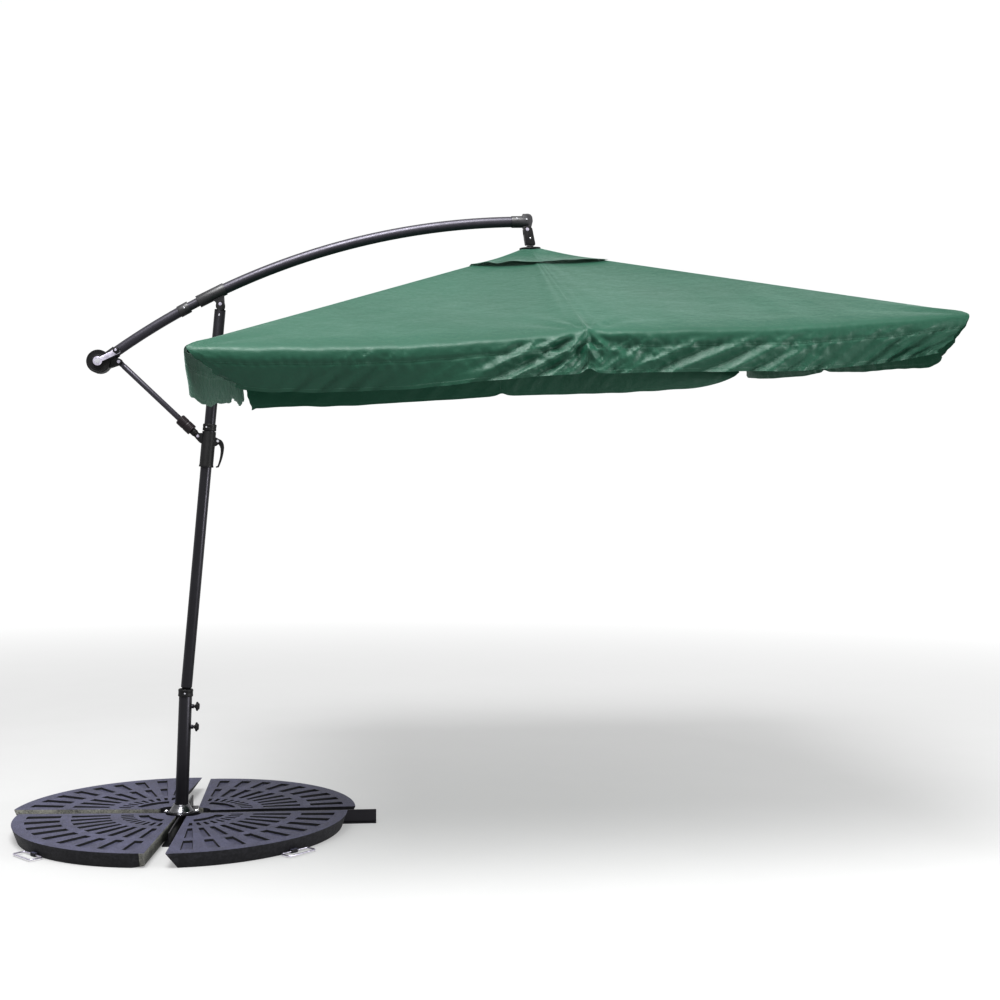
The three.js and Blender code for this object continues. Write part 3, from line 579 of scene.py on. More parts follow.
def plate_mesh(name):
    bm = bmesh.new()
    stations = plate_stations()
    radii = [PLATE["hollow"], 0.062, 0.090]
    for low, high in POCKET_BANDS:
        radii += [low, high] if high - low < 0.06 else [low, (low + high) / 2, high]
    radii += [0.592, PLATE["radius"]]
    grid = []
    for r in radii:
        angles = [0.0] + [plate_angle(r, a) for a in stations] + [math.pi / 2]
        grid.append([bm.verts.new((r * math.cos(t), r * math.sin(t), PLATE["height"])) for t in angles])
    cells = {}
    for i in range(len(radii) - 1):
        for k in range(len(grid[0]) - 1):
            cells[i, k] = bm.faces.new((grid[i][k], grid[i + 1][k], grid[i + 1][k + 1], grid[i][k + 1]))
    add_plate_sides(bm, grid)
    sink_pockets(bm, cells, radii)
    bmesh.ops.recalc_face_normals(bm, faces=bm.faces)
    bevel_sharp(bm, 0.0011, 2, 38)
    mark_plate_faces(bm)
    return mesh_from(bm, name)


def add_plate_sides(bm, grid):
    """The drafted rim and ends, and the underside, which leaves room for the foot's flanges."""
    outline = grid[-1] + [row[-1] for row in reversed(grid[:-1])]
    outline += list(reversed(grid[0][:-1])) + [row[0] for row in grid[1:-1]]
    lower = []
    for v in outline:
        x, y = v.co.x, v.co.y
        radius = math.hypot(x, y)
        if radius > PLATE["radius"] - 0.001:
            x *= 1 - PLATE["draft"] / radius
            y *= 1 - PLATE["draft"] / radius
        z = BAR_ROOM if x < 0.025 else 0.0
        lower.append(bm.verts.new((max(x, PLATE["end"]), max(y, PLATE["undercut"]), z)))
    count = len(outline)
    for i in range(count):
        j = (i + 1) % count
        if (lower[i].co - lower[j].co).length > 1e-6:
            bm.faces.new((outline[j], outline[i], lower[i], lower[j]))
        else:
            bm.faces.new((outline[j], outline[i], lower[i]))
    bm.faces.new(lower)


def sink_pockets(bm, cells, radii):
    """Presses the wedge pockets into the top, with drafted walls."""
    columns = max(k for _, k in cells)
    for low, high in POCKET_BANDS:
        rows = [i for i in range(len(radii) - 1) if low - 1e-6 <= radii[i] < high - 1e-6]
        if (low, high) == POCKET_BANDS[0]:
            groups = [list(range(5, columns - 4))]
        else:
            groups = [[4 * s + 2, 4 * s + 3] for s in range(SECTORS)]
        for group in groups:
            faces = [cells[i, k] for i in rows for k in group]
            bmesh.ops.inset_region(bm, faces=faces, thickness=0.0014, depth=0.0, use_even_offset=True)
            ring = {v for face in faces for v in face.verts}
            for v in ring:
                v.co.z -= POCKET_DEPTH


def mark_plate_faces(bm):
    """Pocket walls take the second material, a near-black painted shade, and the straight sides the third, a
    paler resin that paints the light falling on them.
    """
    for face in bm.faces:
        centre = face.calc_center_median()
        steep = abs(face.normal.z) < 0.75
        inside = math.hypot(centre.x, centre.y) < PLATE["radius"] - 0.03 and min(centre.x, centre.y) > 0.010
        # painted shade on the pocket walls
        if steep and inside and centre.z > PLATE["height"] - POCKET_DEPTH - 0.001:
            face.material_index = 1
        # painted light on the straight sides
        straight = max(abs(face.normal.x), abs(face.normal.y)) > 0.7 and min(centre.x, centre.y) < 0.012
        if steep and straight and not inside:
            face.material_index = 2


def handle_path():
    """The rounded rectangle that a carry handle's wire follows, in the plate's frame."""
    corners = [
        (HANDLE["axis"], -HANDLE["half"]), (HANDLE["out"], -HANDLE["half"]),
        (HANDLE["out"], HANDLE["half"]), (HANDLE["axis"], HANDLE["half"]),
    ]
    path = []
    for i, corner in enumerate(corners):
        c = Vector(corner)
        before = (Vector(corners[i - 1]) - c).normalized() * HANDLE["corner"]
        after = (Vector(corners[(i + 1) % 4]) - c).normalized() * HANDLE["corner"]
        for step in range(7):
            t = step / 6
            p = (c + before) * (1 - t) ** 2 + c * (2 * t * (1 - t)) + (c + after) * t ** 2
            path.append((p.x, p.y, HANDLE["z"]))
    return path


def make_weights():
    for name, (x, y, degrees) in PLATES.items():
        matrix = FOOT @ shift(x, y, 0) @ turn("Z", degrees)
        mesh = plate_mesh("weight_plate_" + name)
        mesh.transform(matrix)
        shade(mesh, 34)
        place("weight_plate_" + name, mesh, RESIN, "base", ["weight_" + name])
        # the second material paints shade on the pocket walls
        mesh.materials.append(RESIN_POCKET_SHADE)
        # the third material paints light on the straight sides
        mesh.materials.append(RESIN_SIDES_LIT)
        middle = matrix @ turn("Z", 45)
        make_lug(name, middle)
        shape = Shape().add(*sweep(handle_path(), HANDLE["wire"], 16, closed=True), middle)
        piece("wire_handle_" + name, shape, ZINC, "handle_" + name, ["carry_handle_" + name])


def make_lug(name, middle):
    """The bracket at the rim that the handle's wire turns in."""
    bm = bmesh.new()
    size = Matrix.Diagonal((0.022, 0.030, 0.014, 1))
    bmesh.ops.create_cube(bm, size=1, matrix=shift(HANDLE["axis"] - 0.005, 0, 0.0085) @ size)
    bevel_sharp(bm, 0.0025, 3)
    mesh = mesh_from(bm, "handle_lug_" + name)
    mesh.transform(middle)
    shade(mesh)
    place("handle_lug_" + name, mesh, RESIN, "base")


def make_foot():
    refine("foot_bar_long", STEEL, 0.0009)
    refine("foot_bar_cross", STEEL, 0.0009)
    refine("mast_flange", STEEL, 0.0012)
    skirt_foot = 0.0568
    profile = [
        (0.0430, skirt_foot), (0.0470, skirt_foot), (0.0470, skirt_foot + 0.0024), (0.0440, 0.0640),
        (0.0372, 0.0735), (0.0320, 0.0815), (0.0296, 0.0870), (0.0268, 0.0870), (0.0268, 0.0840),
    ]
    turned("mast_skirt_cone", profile, MAST_PLANE, DARK_CHROME, "base", ["mast_skirt"], soften=0.0015)
    frames = [FOOT @ turn("Z", 90 * i) @ shift(0.0575, 0, 0.0563) for i in range(4)]
    heads("flange_bolts", frames, hex_head, (0.0068, 0.0058), BRIGHT, "base")


# ---- mast ----
KNOBS = {"lower": (0.3297, 0.0103), "upper": (0.4098, 0.0145)}


def knob_lobes(angle):
    return 1 + 0.055 * math.cos(6 * angle)


def make_mast():
    make_lower_mast()
    make_knobs()
    make_upper_mast()
    stop_ring = upper_point(-0.010, 1.058)
    screws("mast_screws", [(*upper_point(0, 1.497), 0.0212), (*stop_ring, 0.0240)], BRIGHT, "mast")
    screws("collar_screw", [(0.0165, 0.519, 0.0281)], BRIGHT, "base")


def make_lower_mast():
    """The lower tube with the knobs' two bosses, and the collar at its top."""
    shape = Shape()
    tube = [(0.0235, 0.001), (0.025, 0.001), (0.025, 0.473), (0.0235, 0.473)]
    shape.add_turned(rounded(tube), 64, LOWER_MAST)
    for station, _ in KNOBS.values():
        boss = [(0.0047, 0.020), (0.008, 0.0225), (0.008, 0.034), (0.0047, 0.034), (0.0047, 0.024)]
        shape.add_turned(rounded(boss), 32, LOWER_MAST @ shift(0, 0, station) @ turn("Y", 90))
    piece("lower_mast_tube", shape, STEEL, "base", ["lower_mast"])
    collar = [
        (0.0254, 0.449), (0.0285, 0.449), (0.0285, 0.456), (0.0279, 0.457), (0.0279, 0.468),
        (0.0285, 0.469), (0.0285, 0.4753), (0.0265, 0.4773), (0.0218, 0.4773), (0.0216, 0.474),
    ]
    turned("mast_collar_ring", collar, LOWER_MAST, NYLON, "base", ["mast_collar"])


def make_knobs():
    for name, (station, tip) in KNOBS.items():
        matrix = LOWER_MAST @ shift(0, 0, station) @ turn("Y", 90)
        stud = [
            (0.0005, tip), (0.0036, tip + 0.001), (0.004, tip + 0.002), (0.004, 0.0365), (0.0070, 0.0365),
            (0.0070, 0.040),
        ]
        shape = Shape().add_turned(rounded(stud), 32, matrix)
        head = [
            (0.0070, 0.0398), (0.0160, 0.0428), (0.0168, 0.0442), (0.0168, 0.0482), (0.0160, 0.0496),
            (0.0118, 0.0506), (0.0110, 0.0540), (0.0096, 0.0549), (0.0005, 0.0549),
        ]
        shape.add_turned(rounded(head), 72, matrix, knob_lobes)
        piece("clamp_knob_head_" + name, shape, NYLON, "knob_" + name, ["clamp_knob_" + name])


def make_upper_mast():
    """The upper tube and the spigot below it, the slider's stop ring, and the clevis with its bolt."""
    tube = [
        (0.0130, -0.130), (0.0155, -0.130), (0.0155, 0.036), (0.02125, 0.042), (0.02125, 1.515),
        (0.0190, 1.515), (0.0190, 0.044),
    ]
    turned("upper_mast_tube", tube, UPPER_MAST, STEEL, "mast", ["upper_mast"], 64)
    stop = [
        (0.0216, 1.045), (0.0252, 1.045), (0.026, 1.047), (0.026, 1.055), (0.0255, 1.056), (0.0255, 1.060),
        (0.026, 1.061), (0.026, 1.069), (0.0252, 1.071), (0.0216, 1.071),
    ]
    turned("slider_stop_ring", stop, UPPER_MAST, NYLON, "mast", ["slider_stop"])
    refine("mast_clevis", NYLON, 0.0010)
    cross_bolt("arm_pivot_bolt_set", upper_point(0, ARM_PIVOT), 0.0185, ZINC, "mast", ["arm_pivot_bolt"])


# ---- slider, strut and lever ----
def make_slider():
    refine("slider", NYLON, 0.0007)
    refine("squeeze_lever", NYLON, 0.0014)
    foot = upper_point(*STRUT_FOOT)
    cross_bolt("strut_foot_bolt", foot, 0.0118, ZINC, "slider", ["strut_foot_pin"], 0.004, 0.0045)
    cross_bolt("lever_bolt", upper_point(*LEVER_PIVOT), 0.0112, BRIGHT, "slider", (), 0.004, 0.0042)
    refine("strut_tube", ARM_STEEL, 0.0006)
    refine("strut_foot", NYLON, 0.0007)
    sleeve = [(0.0100, 0.384), (0.0140, 0.3845), (0.0140, 0.3990), (0.0125, 0.4030), (0.0066, 0.4050)]
    turned("strut_foot_sleeve", sleeve, STRUT, NYLON, "strut")
    ribs = []
    for start in (0.318, 0.353):
        for i in range(5):
            s = start + 0.003 + i * 0.0056
            ribs += [(0.0213, s), (0.0215, s + 0.0010), (0.0215, s + 0.0038), (0.0213, s + 0.0048)]
    groove = [(0.0203, 0.3495), (0.0203, 0.3525)]
    profile = [(0.0111, 0.318), (0.0185, 0.318)] + ribs[:20] + groove + ribs[20:]
    profile += [(0.0180, 0.384), (0.0111, 0.384)]
    turned("strut_collar_grip", profile, STRUT, NYLON_BROWN, "strut", ["strut_collar"], 56, soften=0.0005)


# ---- arm and winder ----
def arc_point(x):
    return x, ARC["z"] + math.sqrt(ARC["radius"] ** 2 - (x - ARC["x"]) ** 2)


def arc_tube(name, start, stop, radius, node, material=ARM_STEEL):
    steps = max(8, int((stop - start) / 0.02))
    path = []
    for i in range(steps + 1):
        x, z = arc_point(start + (stop - start) * i / steps)
        path.append(MAST_PLANE @ Vector((x, 0, z)))
    return piece(name, Shape().add(*sweep(path, radius, 48)), material, "arm", [node], 40)


def make_arm():
    arc_tube("arm_bow_tube", 0.112, 1.338, 0.02075, "arm_tube")
    arc_tube("link_bow_tube", 0.013, 0.104, 0.017, "link_tube")
    arc_tube("tail_bow_tube", -0.270, 0.010, 0.0195, "tail_tube")
    refine("arm_tee", NYLON_ARM, 0.0012)
    refine("tail_collar", NYLON_ARM, 0.0008)
    refine("elbow", NYLON_ARM, 0.0012)
    refine("winder_housing", NYLON, 0.0008)
    spots = [
        (0.0144, 2.0175, 0.0228), (1.3166, 2.3897, 0.0233), (1.3540, 2.3890, 0.0233),
        (-0.2580, 1.8480, 0.0228),
    ]
    screws("arm_screws", spots, BRIGHT, "arm")
    cross_bolt("strut_head_bolt", STRUT_HEAD, 0.0140, ZINC, "arm", ["strut_head_pin"])


def make_winder():
    x, z = WINDER
    matrix = MAST_PLANE @ shift(x, 0, z) @ CROSSWISE
    cover = [
        (0.0090, 0.0263), (0.0445, 0.0263), (0.0450, 0.0270), (0.0450, 0.0284), (0.0436, 0.0293),
        (0.0400, 0.0293), (0.0386, 0.0285), (0.0250, 0.0285), (0.0236, 0.0293), (0.0090, 0.0293),
    ]
    turned("winder_cover_plate", cover, matrix, NYLON, "arm", ["winder_cover"], 72, soften=0.0004)
    frames = [matrix @ turn("Z", 60 * i + 15) @ shift(0.0415, 0, 0.0293) for i in range(6)]
    heads("winder_cover_screws", frames, screw_head, (0.0022, 0.0008), NYLON, "arm")
    refine("winder_drum", ZINC, 0.0005)
    refine("crank_arm", ZINC, 0.0010)
    heads("crank_nut", [matrix @ shift(0, 0, 0.0440)], hex_head, (0.0080, 0.0045), BRIGHT, "crank")
    make_grip()


def make_grip():
    """The crank's grip, with grooves for the fingers, and the screw that holds it."""
    tip = MAST_PLANE @ shift(CRANK_TIP[0], 0, CRANK_TIP[1]) @ CROSSWISE
    grip = [(0.0044, 0.045), (0.0088, 0.045), (0.0100, 0.047), (0.0112, 0.052)]
    for i in range(6):
        s = 0.0545 + i * 0.0042
        grip += [(0.0116, s), (0.0120, s + 0.0008), (0.0120, s + 0.0026), (0.0116, s + 0.0034)]
    grip += [(0.0115, 0.0800), (0.0100, 0.0830), (0.0080, 0.0840), (0.0044, 0.0840)]
    turned("crank_grip_sleeve", grip, tip, NYLON, "grip", ["crank_grip"], 48, soften=0.0004)
    heads("grip_end_screw", [tip @ shift(0, 0, 0.0858)], screw_head, (0.0052, 0.0018), ZINC, "crank")


def make_hanger():
    refine("hang_link", NYLON, 0.0012)
    cross_bolt("hang_bolt", HANG_PIN, 0.0195, ZINC, "crown")
    screws("hanger_screws", [(1.3694, 2.3148, 0.0195)], BRIGHT, "crown", both_sides=True)
    dish = [
        (0.0098, -0.057), (0.0100, 0.0004), (0.0400, 0.0004), (0.0428, 0.0020), (0.0430, 0.0034),
        (0.0410, 0.0062), (0.0300, 0.0072), (0.0160, 0.0088), (0.0140, 0.0110), (0.0130, 0.0134),
        (0.0001, 0.0134),
    ]
    turned("crown_dish", dish, CANOPY, NYLON, "crown", ["crown_cap"], 64)


# ---- ribs and stretchers ----
RIB_NAMES = ["right", "back_right", "back", "back_left", "left", "front_left", "front", "front_right"]
HUB_PIVOT = 0.052
HUB_Z = -0.048
RIB_TIPS = [(1.190, -0.392), (1.745, -0.397)]
RIB_JOINTS = [0.500, 0.489]
JOINT_DROP = 0.014


def rib_frame(index):
    """A rib's frame, with its origin at the hub pivot and +X along the rib, and the rib's length."""
    radius, height = RIB_TIPS[index % 2]
    dx = radius - HUB_PIVOT
    dz = height - HUB_Z
    slope = math.degrees(math.atan2(-dz, dx))
    spoke = CANOPY @ turn("Z", 45 * index) @ shift(HUB_PIVOT, 0, HUB_Z)
    return spoke @ turn("Y", slope), math.hypot(dx, dz)


def make_ribs():
    for index, name in enumerate(RIB_NAMES):
        refine("rib_" + name, FRAME_STEEL, 0.0012)
        refine("stretcher_" + name, FRAME_STEEL, 0.0010)
        matrix, length = rib_frame(index)
        shape = Shape()
        cap = [
            (0.0001, -0.034), (0.0086, -0.034), (0.0090, -0.030), (0.0090, 0.002), (0.0070, 0.006),
            (0.0001, 0.007),
        ]
        shape.add_turned(rounded(cap), 24, matrix @ shift(length, 0, 0) @ turn("Y", 90))
        piece("rib_tip_" + name, shape, NYLON, "rib_" + name)
        joint = matrix @ shift(RIB_JOINTS[index % 2], 0, -JOINT_DROP) @ CROSSWISE
        rivet = [
            (0.0001, -0.0082), (0.0034, -0.0078), (0.0040, -0.0062), (0.0024, -0.0060), (0.0024, 0.0060),
            (0.0040, 0.0062), (0.0034, 0.0078), (0.0001, 0.0082),
        ]
        turned("rib_rivet_" + name, rivet, joint, ZINC, "rib_" + name, (), 20, soften=0.0003)
    refine("rib_hub", NYLON, 0.0010)
    refine("runner", NYLON, 0.0010)


# ---- canopy ----
HALF = 1.250
MIDDLE = 1.200
RISE = 0.384
OPENING = 0.112
COLUMNS = 64  # from a rib to the middle of a gore
COLUMN_CROWDING = 1.2  # more columns about the rib's tip
ROWS = 58
VALANCE_ROWS = 24
RIM_SAGS = [0.006, 0.008, 0.010, 0.012, 0.016, 0.020, 0.010, 0.004]  # of the gore after each rib
FIELD_SAGS = [0.016, 0.018, 0.016, 0.018, 0.020, 0.012, 0.009, 0.014]
VENT = {"half": 0.265, "edge_z": -0.0750, "start": 0.070, "flat": 0.14, "loose": 5.3}


def waves(seed, a, b, count, low, high):
    """A smooth random field, about -1 to 1: seeded plane waves of low to high cycles a metre."""
    rng = np.random.default_rng(seed)
    total = np.zeros_like(a + b)
    for _ in range(count):
        frequency = rng.uniform(low, high)
        heading = rng.uniform(0, math.pi)
        phase = rng.uniform(0, 2 * math.pi)
        line = a * math.cos(heading) + b * math.sin(heading)
        total += np.sin(2 * math.pi * frequency * line + phase)
    return total / math.sqrt(count)


def smooth(value, low, high):
    t = np.clip((value - low) / (high - low), 0, 1)
    return t * t * (3 - 2 * t)


def rim_point(s):
    """The canopy's rim in plan at the station s: ribs lie at whole numbers, corners at odd ones."""
    first = np.floor(s).astype(int)
    t = s - first

    def end(k):
        reach = np.where(k % 2 == 0, MIDDLE, HALF * math.sqrt(2))
        angle = k * math.pi / 4
        return reach * np.cos(angle), reach * np.sin(angle)

    x0, y0 = end(first)
    x1, y1 = end(first + 1)
    return x0 + (x1 - x0) * t, y0 + (y1 - y0) * t


def by_gore(values, s):
    return np.asarray(values)[np.floor(s).astype(int) % 8]


def gore_arch(s):
    """0 at a rib and 1 in the middle of a gore."""
    t = s - np.floor(s)
    return 1 - (2 * t - 1) ** 2


def canopy_field(s, u):
    """The height of the cloth over its flat pyramid at station s and share u of the way to the rim."""
    x, y = rim_point(s)
    x = x * u
    y = y * u
    arch = gore_arch(s)
    sag = by_gore(FIELD_SAGS, s) * np.sin(math.pi * np.clip(u, 0, 1) ** 0.85)
    sag += by_gore(RIM_SAGS, s) * u ** 6
    height = -sag * arch
    height += 0.0022 * arch * smooth(u, 0.15, 0.4) * waves(3, x, y, 7, 0.8, 2.4)
    height += 0.0009 * arch ** 0.5 * smooth(u, 0.3, 0.8) * waves(5, x, y, 9, 4.0, 9.0)
    height -= 0.0060 * arch * smooth(u, 0.93, 1.0)
    return height + tension_folds(x, y)


# At a middle rib's tip, and at a corner's: how close the folds lie about the tip, their height, how far out
# they fade, and the height of the peak over the tip.
TIP_FOLDS = [
    {"count": 1.6, "height": 0.0125, "fade": 0.085, "peak": 0.008},
    {"count": 1.9, "height": 0.0095, "fade": 0.15, "peak": 0.003},
]


def tension_folds(x, y):
    """Folds that fan out from each rib's tip, where the cloth is pulled tight."""
    total = np.zeros_like(x)
    for rib in range(8):
        angle = rib * math.pi / 4
        folds = TIP_FOLDS[rib % 2]
        reach = HALF * math.sqrt(2) if rib % 2 else MIDDLE
        along = reach - (x * math.cos(angle) + y * math.sin(angle))
        across = -x * math.sin(angle) + y * math.cos(angle)
        distance = np.hypot(along, across)
        spread = np.arctan2(across, np.maximum(along, 1e-4))
        fan = zigzag(folds["count"] * spread + 0.21 * rib, 0.98)
        fade = np.exp(-distance / folds["fade"]) * smooth(distance, 0.004, 0.03)
        total += folds["height"] * fan * fade
        total += folds["peak"] * np.exp(-(distance / 0.035) ** 2)
    return total


def side_place(s):
    """The side (0 right, 1 back, 2 left, 3 front), and how far along it counter-clockwise, from 0 to 1."""
    wrapped = (s + 1) % 8
    side = np.floor(wrapped / 2).astype(int)
    return side, wrapped / 2 - side


# Each side's valance, in the order right, back, left, front. A side starts and stops at its two corners.
CUT_START = [0.190, 0.045, 0.035, 0.145]  # how far the hem is cut back from the corner
CUT_STOP = [0.030, 0.040, 0.012, 0.100]
LIFT_START = [0.020, 0.055, 0.010, 0.006]  # how much the hem rises to the corner
LIFT_STOP = [0.006, -0.020, 0.004, 0.004]
DROPS = [0.158, 0.190, 0.160, 0.134]
DROP_WAVE = [0.0, 0.0, 0.0, 0.006]
RAGGED = [0.0, 0.0, 1.0, 0.25]
FOLD_DEPTH = [0.0010, 0.0008, 0.0022, 0.0105]
FOLD_SLANT = [1.2, -1.3, 0.9, 1.5]
CRINKLE = [0.12, 0.08, 0.35, 1.0]
TUCK_START = [0.020, 0.010, 0.012, 0.084]  # how far the hem leans in under the rim
TUCK_STOP = [0.015, 0.010, 0.010, 0.044]
FOLD_STEP = 0.118


def zigzag(phase, crisp=0.96):
    """A wave with flat flanks and crisp crests, between -1 and 1."""
    return np.arcsin(crisp * np.sin(2 * math.pi * phase)) / math.asin(crisp)


def by_side(values, side):
    return np.take(values, side)


def end_shares(t, length):
    """1 at a side's start and 0 past the length from it, and the same from its stop."""
    return np.clip(1 - t / length, 0, 1), np.clip(1 - (1 - t) / length, 0, 1)


def long_folds(run, depth, side):
    """Slanting folds that hang from the seam, strong in some places and gone in others."""
    slant = by_side(FOLD_SLANT, side)
    wander = 0.55 * np.sin(run * 3.1 + side) + 0.22 * np.sin(run * 8.3 + 2.0 * side)
    fold = zigzag((run + slant * depth) / FOLD_STEP + wander)
    patch = smooth(waves(21, run + 4.0 * side, 1.6 * depth, 6, 0.8, 2.6), -0.9, 0.7)
    drift = 1.9 * wander + 0.5 * np.sin(40 * depth)
    between = zigzag((run + 0.55 * slant * depth) / 0.051 + drift, 0.98)
    second = 0.30 * between * smooth(waves(22, run + 4.0 * side, 2.0 * depth, 6, 1.5, 4.0), -0.4, 0.8)
    return (fold * (0.15 + 0.85 * patch) + second) * smooth(depth, 0.012, 0.085)


def tip_fan(run, depth):
    """Folds that fan out below the middle rib's tip."""
    spread = np.arctan2(run, depth + 0.012)
    reach = np.hypot(run, depth)
    fan = zigzag(1.55 * spread + 0.16 * np.sin(31 * reach) + 0.15, 0.98)
    return fan * np.exp(-(reach / 0.19) ** 2) * smooth(reach, 0.012, 0.07)


def creases(run, depth, side):
    """Small sharp wrinkles, most of them about the middle rib's tip."""
    sharp = np.abs(waves(11, run + 3.0 * side, 1.2 * depth, 5, 7.0, 17.0))
    fine = np.abs(waves(12, run + 3.0 * side, 1.4 * depth, 5, 16.0, 34.0))
    near_tip = np.exp(-(np.abs(run + 0.03) / 0.24) ** 2)
    patch = smooth(waves(13, run + 3.0 * side, depth, 6, 1.0, 3.0), -0.2, 1.0)
    strength = 0.0010 + 0.0048 * near_tip + 0.0026 * patch
    return -strength * (sharp + 0.5 * fine - 1.0) * smooth(depth, 0.002, 0.04)


def seam_puckers(run, depth):
    """The stitched seam is drawn in, with short puckers across it."""
    gather = np.sin(2 * math.pi * (run / 0.030 + 0.5 * np.sin(run * 9))) * (0.5 + 0.5 * np.sin(run * 5.3))
    near = np.exp(-((depth - VALANCE_SEAM) / 0.016) ** 2)
    groove = np.exp(-((depth - VALANCE_SEAM) / 0.0055) ** 2)
    return 0.0022 * near * gather - 0.0042 * groove


def hem_drop(run, t, side):
    """How far the hem hangs below the rim."""
    start, stop = end_shares(t, 0.12)
    lift = by_side(LIFT_START, side) * start ** 2 + by_side(LIFT_STOP, side) * stop ** 2
    wave = by_side(DROP_WAVE, side) * np.cos(2 * math.pi * (t - 0.1) / 0.66)
    uneven = 0.0065 * np.sin(run * 9.0 + 0.6) + 0.0030 * zigzag(run / 0.31)
    return by_side(DROPS, side) - lift + wave + by_side(RAGGED, side) * uneven


def valance_offset(s, w):
    """The valance's outward push, shift along the side and drop. w runs from 0 at the rim to 1 at the hem."""
    side, t = side_place(s)
    run = (t - 0.5) * 2 * HALF
    depth = w * VALANCE
    calm_ends = 0.2 + 0.8 * smooth(t, 0.04, 0.34) * smooth(1 - t, 0.0, 0.12)
    push = by_side(FOLD_DEPTH, side) * long_folds(run, depth, side) * calm_ends
    shaky = by_side(CRINKLE, side)
    fine = 0.0075 * tip_fan(run, depth) + creases(run, depth, side) + seam_puckers(run, depth)
    push += shaky * fine
    billow = np.sin(2 * math.pi * (run / 0.83 + 0.2 * w + 0.1 * side)) * smooth(w, 0.1, 0.8)
    tuck = by_side(TUCK_START, side) * smooth(0.42 - t, 0, 0.30)
    tuck += by_side(TUCK_STOP, side) * smooth(t - 0.66, 0, 0.24)
    push = push + 0.006 * shaky * billow + 0.010 * w * shaky - tuck * smooth(w, 0.18, 1.15)
    start, stop = end_shares(t, 0.16)
    slide = by_side(CUT_START, side) * start ** 1.5 - by_side(CUT_STOP, side) * stop ** 1.5
    wavy = 1 + 0.07 * np.sin(depth * 95) + 0.05 * np.sin(depth * 213)
    return push, slide * wavy * w ** 1.25, hem_drop(run, t, side)


def canopy_points(s, rows):
    """Cloth points for stations s (columns) and rows of (share to the rim, share of the valance)."""
    u = rows[:, 0][:, None] + 0 * s[None, :]
    w = rows[:, 1][:, None] + 0 * s[None, :]
    s = s[None, :] + 0 * u
    rim_x, rim_y = rim_point(s)
    side, _ = side_place(s)
    outward = side * math.pi / 2
    push, slide, drop = valance_offset(s, w)
    x = rim_x * u + np.cos(outward) * push - np.sin(outward) * slide
    y = rim_y * u + np.sin(outward) * push + np.cos(outward) * slide
    z = -RISE * u + canopy_field(s, u) - drop * w
    return np.stack([x, y, z], axis=-1)


def row_shares():
    """The shares of each row: from the vent opening out to the rim, then down the valance to its hem."""
    top = [(OPENING + (1 - OPENING) * (i / ROWS) ** 0.84, 0.0) for i in range(ROWS)]
    fall = [(1.0, k / VALANCE_ROWS) for k in range(VALANCE_ROWS + 1)]
    return np.array(top + fall)


def soften_rim(points):
    """Rounds the turn from the top to the valance by averaging the rows about it."""
    first = ROWS - 3
    last = ROWS + 4
    for _ in range(4):
        above = 0.25 * points[first - 1:last - 1]
        below = 0.25 * points[first + 1:last + 1]
        points[first:last] = above + 0.5 * points[first:last] + below
    return points


def cloth_normals(points):
    """Unit normals of a grid of points, outward, from its rows and columns."""
    down = np.gradient(points, axis=0)
    round_it = np.gradient(points, axis=1)
    normal = np.cross(down, round_it)
    length = np.linalg.norm(normal, axis=-1, keepdims=True)
    return normal / np.maximum(length, 1e-12)


def sheet_piece(name, points, normals, extra, body, replaces):
    """One petal of cloth from its own grid of points, with shared normals at its borders."""
    rows, columns = points.shape[:2]
    mesh = bpy.data.meshes.new(name)
    world = [CANOPY @ Vector(p) for p in points.reshape(-1, 3)]
    faces = []
    for i in range(rows - 1):
        for k in range(columns - 1):
            a = i * columns + k
            faces.append((a, a + columns, a + columns + 1, a + 1))
    mesh.from_pydata(world, [], faces)
    for key, values in extra.items():
        attribute = mesh.attributes.new(key, "FLOAT", "POINT")
        attribute.data.foreach_set("value", values.astype(np.float32).ravel())
    mesh.polygons.foreach_set("use_smooth", [True] * len(faces))
    rotation = np.array(CANOPY.to_3x3())
    mesh.normals_split_custom_set_from_vertices(normals.reshape(-1, 3) @ rotation.T)
    return place(name, mesh, CLOTH, body, replaces)


ABOVE_RIM = -1.0  # the cloth's drop attribute where there is no valance


def rib_attributes(points, index, drop):
    """Distances across and along the rib, which place the weave and seams, and the depth below the rim."""
    angle = index * math.pi / 4
    across = -points[..., 0] * math.sin(angle) + points[..., 1] * math.cos(angle)
    along = points[..., 0] * math.cos(angle) + points[..., 1] * math.sin(angle)
    return {"across": across, "along": along, "drop": drop + 0 * across}


def fold_with_rib(obj):
    """Gives the petal a mesh of its own."""
    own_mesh(obj)


def make_canopy():
    rows = row_shares()
    for index, name in enumerate(RIB_NAMES):
        halves = [(-0.5, 0.0), (0.0, 0.5)] if index % 2 else [(-0.5, 0.5)]
        for part, (low, high) in enumerate(halves):
            make_petal(index, name, part, low, high, rows)


def make_petal(index, name, part, low, high, rows):
    """The cloth about one rib. A corner's has two halves, since its valance is open at the corner."""
    inside = 1e-4
    share = np.linspace(2 * low, 2 * high, round((high - low) * 2 * COLUMNS) + 1)
    s = index + 0.5 * np.sign(share) * np.abs(share) ** COLUMN_CROWDING
    guard = 0.5 * (1 - (1 - 1 / COLUMNS) ** COLUMN_CROWDING)
    wide = np.concatenate([[s[0] - guard], s, [s[-1] + guard]])
    if part == 0 and high == 0.0:
        wide[-2] -= inside
    if part == 1:
        wide[1] += inside
    points = soften_rim(canopy_points(wide % 8, rows))
    if index % 2:
        points = open_corner(points, part)
    normals = cloth_normals(points)
    points = points[:, 1:-1]
    normals = normals[:, 1:-1]
    drop = rows[:, 1:] * VALANCE
    drop[:ROWS] = ABOVE_RIM
    extra = rib_attributes(points, index, drop)
    extra["along"] -= points[..., 2]
    suffix = ["", "_a", "_b"][part + 1 if index % 2 else 0]
    obj = sheet_piece("canopy_petal_" + name + suffix, points, normals, extra, "rib_" + name, ["canopy"])
    fold_with_rib(obj)


